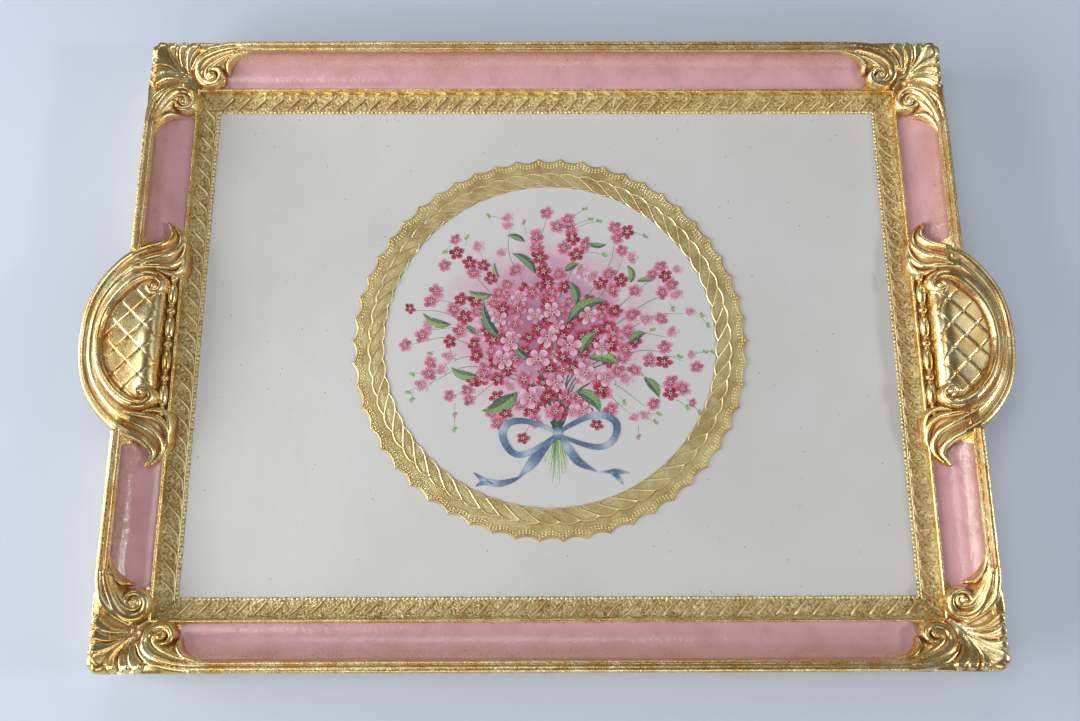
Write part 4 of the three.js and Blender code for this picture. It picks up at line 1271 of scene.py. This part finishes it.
def flower(paint, x, y, radius, tone, draw, level):
    """Five rounded petals with a pale star and a dark eye, a little foreshortened."""
    light, middle, deep = PETAL_TONES[tone]
    turn = draw.uniform(0, TAU)
    squash, lean = draw.uniform(0.78, 1.0), draw.uniform(0, math.pi)
    steps = 40
    parts = np.array([1.0, 0.92, 0.8, 0.68, 0.56, 0.44, 0.34, 0.25, 0.17, 0.09])
    angle = np.arange(steps) * TAU / steps
    lobe = np.abs(np.cos(2.5 * angle))
    petal = np.arange(steps) * 5 / steps
    share = 1 + 0.07 * np.sin(angle * 2 + draw.uniform(0, TAU))
    outline = radius * share * (0.36 + 0.64 * lobe**0.45)
    t, lobes = np.meshgrid(parts, lobe, indexing="ij")
    px, py = t * outline * np.cos(angle + turn), t * outline * np.sin(angle + turn)
    c, s = math.cos(lean), math.sin(lean)
    u, v = px * c + py * s, (py * c - px * s) * squash
    cup = 0.05 * t**2 + 0.06 * (1 - (2 * t - 1) ** 2) * lobes
    grid = np.stack([x + u * c - v * s, y + u * s + v * c, cup], -1)
    dark_petal = (np.round(petal).astype(int) % 5)[None, :] == draw.integers(0, 5)
    rim = np.clip((t - 0.6) * 2.6, 0, 1) * np.clip(lobes * 1.6 - 0.5, 0, 1)
    color = tint(middle, light, rim * (1 - 0.8 * dark_petal))
    shadow = np.clip((0.66 - t) * 2.0, 0, 0.8) + 0.9 * np.clip(0.5 - lobes, 0, 1) + 0.3 * dark_petal
    color = tint(color, deep, shadow)
    color = np.where(((lobes > 0.97) & (t < 0.4) | (t < 0.2))[..., None], STAR, color)
    color = np.where((t < 0.14)[..., None], EYE, color)
    paint.add(grid, level, True, color)


def petal_tone(code, index, draw):
    if code == "x":
        return ("crimson", "mid")[index % 2]
    if code == "m" and draw.random() < 0.2:
        return "pale"
    return {"p": "pale", "m": "mid", "c": "crimson"}[code]


def spray(x, y, count, radius):
    """Places of a few flowers that overlap a little, the first towards the top left."""
    if count == 1:
        return [(x, y)]
    reach = radius * (0.85, 1.0, 1.25, 1.45)[count - 2]
    start = math.radians(100 + 37 * ((x * 7 + y * 3) % 5))
    return [
        (x + reach * math.cos(start + k * TAU / count), y + 0.8 * reach * math.sin(start + k * TAU / count))
        for k in range(count)
    ]


def heart_flowers(draw):
    """Seeded places for the crowd of smaller flowers in the middle of the bouquet, kept a little apart."""
    places = []
    while len(places) < HEART_COUNT:
        a, r = draw.uniform(0, TAU), math.sqrt(draw.uniform(0, 1))
        x, y = -1 + 41 * r * math.cos(a), -5 + 38 * r * math.sin(a)
        apart = all(math.hypot(x - px, y - py) > HEART_GAP for px, py in places)
        if apart or draw.random() < 0.002:
            places.append((x, y))
    return places


def bouquet_flowers(paint):
    draw = np.random.default_rng(7)
    for index, (x, y) in enumerate(heart_flowers(draw)):
        tone = ("crimson", "mid", "crimson", "mid", "crimson", "pale")[index % 6]
        flower(paint, x, y, draw.uniform(4.0, 4.8), tone, draw, 0.04 + 0.0012 * index)
    for row, (x, y, count, radius, code) in enumerate(SPRAYS):
        for index, (fx, fy) in enumerate(spray(x, y, count, radius)):
            size = radius * draw.uniform(0.92, 1.05)
            tone = petal_tone(code, index + row, draw)
            flower(paint, fx, fy, size, tone, draw, 0.17 + 0.002 * index + 0.0008 * row)
    for index, (x, y, radius, code) in enumerate(BIG_FLOWERS):
        flower(paint, x, y, radius, petal_tone(code, 1, draw), draw, 0.3 + 0.003 * index)


def leaf(paint, row, level):
    """A pointed leaf with a light midrib, dark veins and a dark outline."""
    x0, y0, x1, y1, half, bend, light = row

    def bowed(share, bow):
        """A place between the leaf's ends, moved sideways."""
        dx, dy = x1 - x0, y1 - y0
        return x0 + share * dx - bow * bend * dy, y0 + share * dy + bow * bend * dx

    points = [(x0, y0), bowed(0.25, 0.7), bowed(0.5, 1.0), bowed(0.75, 0.8), (x1, y1)]
    dark, green, bright = LEAF_GREENS

    def color_at(t, u):
        veins = np.sin((t * 9 - np.abs(u) * 1.6) * TAU) > 0.72
        lit = tint(green, bright, light * (0.35 + 0.65 * np.sin(t * math.pi)) + 0.25 * (u > 0.1))
        shaded = tint(lit, dark, 0.75 * (u < -0.05) * (1 - 0.5 * light) + 0.9 * np.clip(0.25 - t, 0, 1) * 3)
        marked = tint(shaded, dark, 0.45 * veins)
        outlined = tint(marked, dark, 0.7 * (np.abs(u) > 0.84))
        return tint(outlined, bright, 0.8 * (np.abs(u) < 0.06))

    widths = (0.25, 0.82 * half, half, 0.68 * half, 0.05)
    paint.blade(points, widths, level, crown=0.08, columns=13, per_span=9, color_at=color_at)


def graded(start, end, along, over, first=0.0):
    """A colouring that goes from one colour to another along a blade, and over it."""
    return lambda t, u: tint(start, end, first + along * t + over * u)


def bud(paint, x0, y0, x1, y1, tip):
    """A bud at the end of a sprig, with one small leaf beside it."""
    green = linear(96, 146, 100)
    long = math.hypot(x1 - x0, y1 - y0)
    ahead = ((x1 - x0) / long, (y1 - y0) / long)
    end = (x1 + ahead[0] * 2.6, y1 + ahead[1] * 2.6)
    side = (x1 - ahead[1] * 1.7, y1 + ahead[0] * 1.7)
    points = [(x1, y1), mean_point((x1, y1), end), end]
    paint.blade(points, (0.25, 0.95, 0.15), 0.12, color_at=graded(green, tip, 0.6, 0.3, 0.4))
    points = [(x1, y1), mean_point((x1, y1), side), side]
    paint.blade(points, (0.2, 0.7, 0.1), 0.1, color_at=graded(green, linear(160, 200, 130), 1, 0.4))


def bouquet_leaves(paint):
    for index, row in enumerate(LEAVES):
        leaf(paint, row, 0.2 + 0.002 * index)
    for index, places in enumerate(BUDS):
        bud(paint, *places, linear(226, 150, 170) if index % 4 == 1 else linear(170, 206, 130))


def bouquet_stems(paint):
    green = graded(*STEM_GREEN, 1, 0.4)
    for x, y in STEM_ENDS:
        start = (0.5 * x + 0.6, 0.45 * y - 4)
        bow = 0.14 if x > 0 else -0.14
        middle = mean_point(start, (x, y), bow * (y - start[1]), abs(bow) * abs(x - start[0]))
        paint.blade([start, middle, (x, y)], (0.3, 0.22, 0.14), 0.03, columns=3, color_at=green)
    for x0, y0, x1, y1 in BUDS:
        middle = mean_point((x0, y0), (x1, y1), 0, 0.6)
        paint.blade([(x0, y0), middle, (x1, y1)], (0.14, 0.14, 0.14), 0.02, columns=3, color_at=green)
    gathered_stems(paint)
    cut_stems(paint)


def gathered_stems(paint):
    """The stems that fan out from the tie into the flowers."""
    green = graded(linear(48, 84, 70), linear(110, 140, 112), 0.7, 0.4)
    for index in range(17):
        lean = (index - 8) / 8
        reach = 74 - 16 * abs(lean) - 9 * (index % 3)
        end = (3 + 40 * lean + 3 * (index % 2), -50 + reach * (1 - 0.35 * abs(lean)))
        points = [(TIE[0] + 1.5 * lean, -48), (3 + 14 * lean, -50 + 0.5 * reach), end]
        paint.blade(points, (0.55, 0.4, 0.22), 0.04 + 0.001 * index, columns=3, color_at=green)


def cut_stems(paint):
    """The thin cut stems that spread below the tie."""
    draw = np.random.default_rng(21)
    shades = (linear(70, 128, 84), linear(130, 180, 110), linear(206, 222, 150))
    pale = linear(212, 224, 176)
    for index in range(34):
        lean = draw.uniform(-1, 1)
        reach = draw.uniform(17, 29) * (1 - 0.25 * abs(lean))
        x0, x1 = 3.5 + 1.7 * lean, 2.6 + 6.2 * lean
        points = [(x0, -50.5), ((x0 + x1) / 2 - 0.4 * lean, -50 - reach * 0.45), (x1, -50 - reach)]

        def color_at(t, u, tone=shades[index % 3]):
            return tint(tone, pale, t**2 * 0.8 + 0.2 * u)

        paint.blade(points, (0.4, 0.34, 0.06), 0.03 + 0.002 * index, columns=3, color_at=color_at)


def bouquet_ribbon(paint):
    """Two loops, two forked tails and the knot, shaded as silk."""
    dark, middle, light = RIBBON_BLUES

    def silk(shift, rate):
        def color_at(t, u):
            sheen = np.sin((t * rate + shift) * TAU)
            color = tint(middle, light, 0.85 * np.clip(sheen, 0, 1) ** 2)
            return tint(color, dark, 0.8 * np.clip(-sheen, 0, 1) + 0.35 * (np.abs(u) > 0.8))
        return color_at

    loops = [
        [
            (3, -49.5), (-6, -45.5), (-15, -43.3), (-22.5, -44.8), (-25.2, -50.5), (-22, -58),
            (-16.5, -61.2), (-8, -58.3), (2.5, -51),
        ],
        [
            (4, -49.5), (11, -45.2), (20, -41.2), (29, -40.8), (34.3, -45.2), (33, -52.6), (26.5, -57),
            (17, -55.8), (4.5, -51),
        ],
    ]
    widths = (0.8, 1.2, 1.5, 1.8, 1.9, 1.7, 1.5, 1.3, 0.7)
    for shift, points in zip((0.1, 0.45), loops):
        paint.blade(points, widths, 0.3, columns=9, per_span=10, color_at=silk(shift, 2.6))
    tails = [
        ([(2.6, -51), (-4, -58), (-10, -65.5), (-16.5, -72.6)], (0.8, 2.2, 2.5, 0.3)),
        ([(-15, -72), (-20, -74.4), (-27, -76), (-34, -75.2), (-39, -77.4)], (0.2, 1.1, 1.7, 1.5, 0.1)),
        ([(-30, -76), (-35, -74), (-40, -70.4)], (0.9, 1.2, 0.1)),
        ([(4.4, -51), (9, -58), (14.5, -65), (23.5, -70)], (0.8, 2.1, 2.0, 0.15)),
        ([(25, -70.2), (29, -70), (34, -70), (40.5, -70.8)], (0.1, 0.7, 1.4, 0.1)),
        ([(31, -70), (34, -72.4), (36.8, -76.6)], (0.9, 1.1, 0.1)),
    ]
    for index, (points, half) in enumerate(tails):
        look = silk(0.3 + 0.2 * index, 1.2)
        paint.blade(points, half, 0.27 + 0.005 * index, columns=9, per_span=9, color_at=look)
    knot = [(TIE[0], -46.6), (TIE[0] + 0.2, TIE[1]), (TIE[0], -53.2)]
    paint.blade(knot, (1.7, 2.3, 1.9), 0.36, columns=9, color_at=silk(0.75, 1.0))


# ---- Room, light and camera ----
def place_in_scene(name, data):
    obj = bpy.data.objects.new(name, data)
    bpy.context.scene.collection.objects.link(obj)
    return obj


def floor_plane(material):
    """A plain flat floor that reaches far outside the view."""
    mesh = bpy.data.meshes.new("studio_floor")
    size = 2.5
    corners = [(-size, -size, 0), (size, -size, 0), (size, size, 0), (-size, size, 0)]
    mesh.from_pydata(corners, [], [(0, 1, 2, 3)])
    mesh.materials.append(material)
    place_in_scene("studio_floor", mesh)


def area_light(name, place, size, power, color):
    """A rectangular light that looks at the tray's middle."""
    light = bpy.data.lights.new(name, "AREA")
    light.shape = "RECTANGLE"
    light.size, light.size_y = size
    light.energy = power
    light.color = color
    obj = place_in_scene(name, light)
    obj.location = place
    obj.rotation_euler = (-Vector(place)).to_track_quat("-Z", "Y").to_euler()


def lights():
    area_light("left_window", (-1.25, -0.2, 0.46), (1.3, 0.5), 17.5, (1.0, 0.99, 0.98))
    area_light("high_left", (-0.68, 0.08, 1.35), (0.45, 0.45), 3.0, (1.0, 1.0, 1.0))
    area_light("back_window", (-0.15, 1.1, 1.2), (0.9, 0.35), 3.2, (0.98, 0.99, 1.0))
    area_light("right_window", (1.0, 0.38, 0.93), (0.5, 0.4), 0.7, (0.97, 0.98, 1.0))
    area_light("right_gap", (1.12, -0.15, 0.56), (0.15, 0.07), 3.6, (0.94, 0.97, 1.0))
    area_light("front_fill", (0.1, -1.3, 0.8), (1.4, 0.5), 4.5, (1.0, 0.98, 0.96))
    world = bpy.data.worlds.new("soft_room")
    world.use_nodes = True
    background = world.node_tree.nodes["Background"]
    background.inputs["Color"].default_value = (0.93, 0.96, 1.0, 1.0)
    background.inputs["Strength"].default_value = 0.12
    bpy.context.scene.world = world


def camera():
    data = bpy.data.cameras.new("camera")
    data.lens = 30.73
    data.sensor_width = 36.0
    data.clip_start = 0.01
    obj = place_in_scene("camera", data)
    turn = Matrix.Rotation(-0.020, 4, "Z") @ Matrix.Rotation(0.239, 4, "X") @ Matrix.Rotation(0.018, 4, "Z")
    obj.matrix_world = Matrix.Translation(Vector((-6.421, -127.419, 485.693)) * MM) @ turn
    bpy.context.scene.camera = obj


# ---- The tray ----
camera()
lights()
floor_plane(floor_material())
bpy.context.scene.view_settings.view_transform = "Standard"

gold, burnished_highlit_gold = bright_gold(), rib_gold()
gilt = matte_gold("stippled_gilding", 820, 0.0014, 0.8)
soft_gilt = matte_gold("matte_gilding", 1500, 0.0004, 0.25)
lacquer = rose_lacquer()
for side in ("front", "right", "back", "left"):
    rail(side, lacquer)
    border_strip(side, gilt, burnished_highlit_gold)
corner_ornaments(gold)
handles(gold)
bead_strips(gold)
medallion_ring(soft_gilt, burnished_highlit_gold)
finish_cad_nodes(cream_lacquer(), plain_steel())
print_disc(print_ground())
paint_finish = flower_paint()
for name, fill in (
    ("stems", bouquet_stems),
    ("leaves", bouquet_leaves),
    ("flowers", bouquet_flowers),
    ("ribbon", bouquet_ribbon),
):
    paint = Relief(MEDALLION, PRINT_TOP)
    fill(paint)
    paint.piece(f"bouquet_{name}", paint_finish, "bouquet_print", "painted_flowers")

bpy.context.view_layer.update()
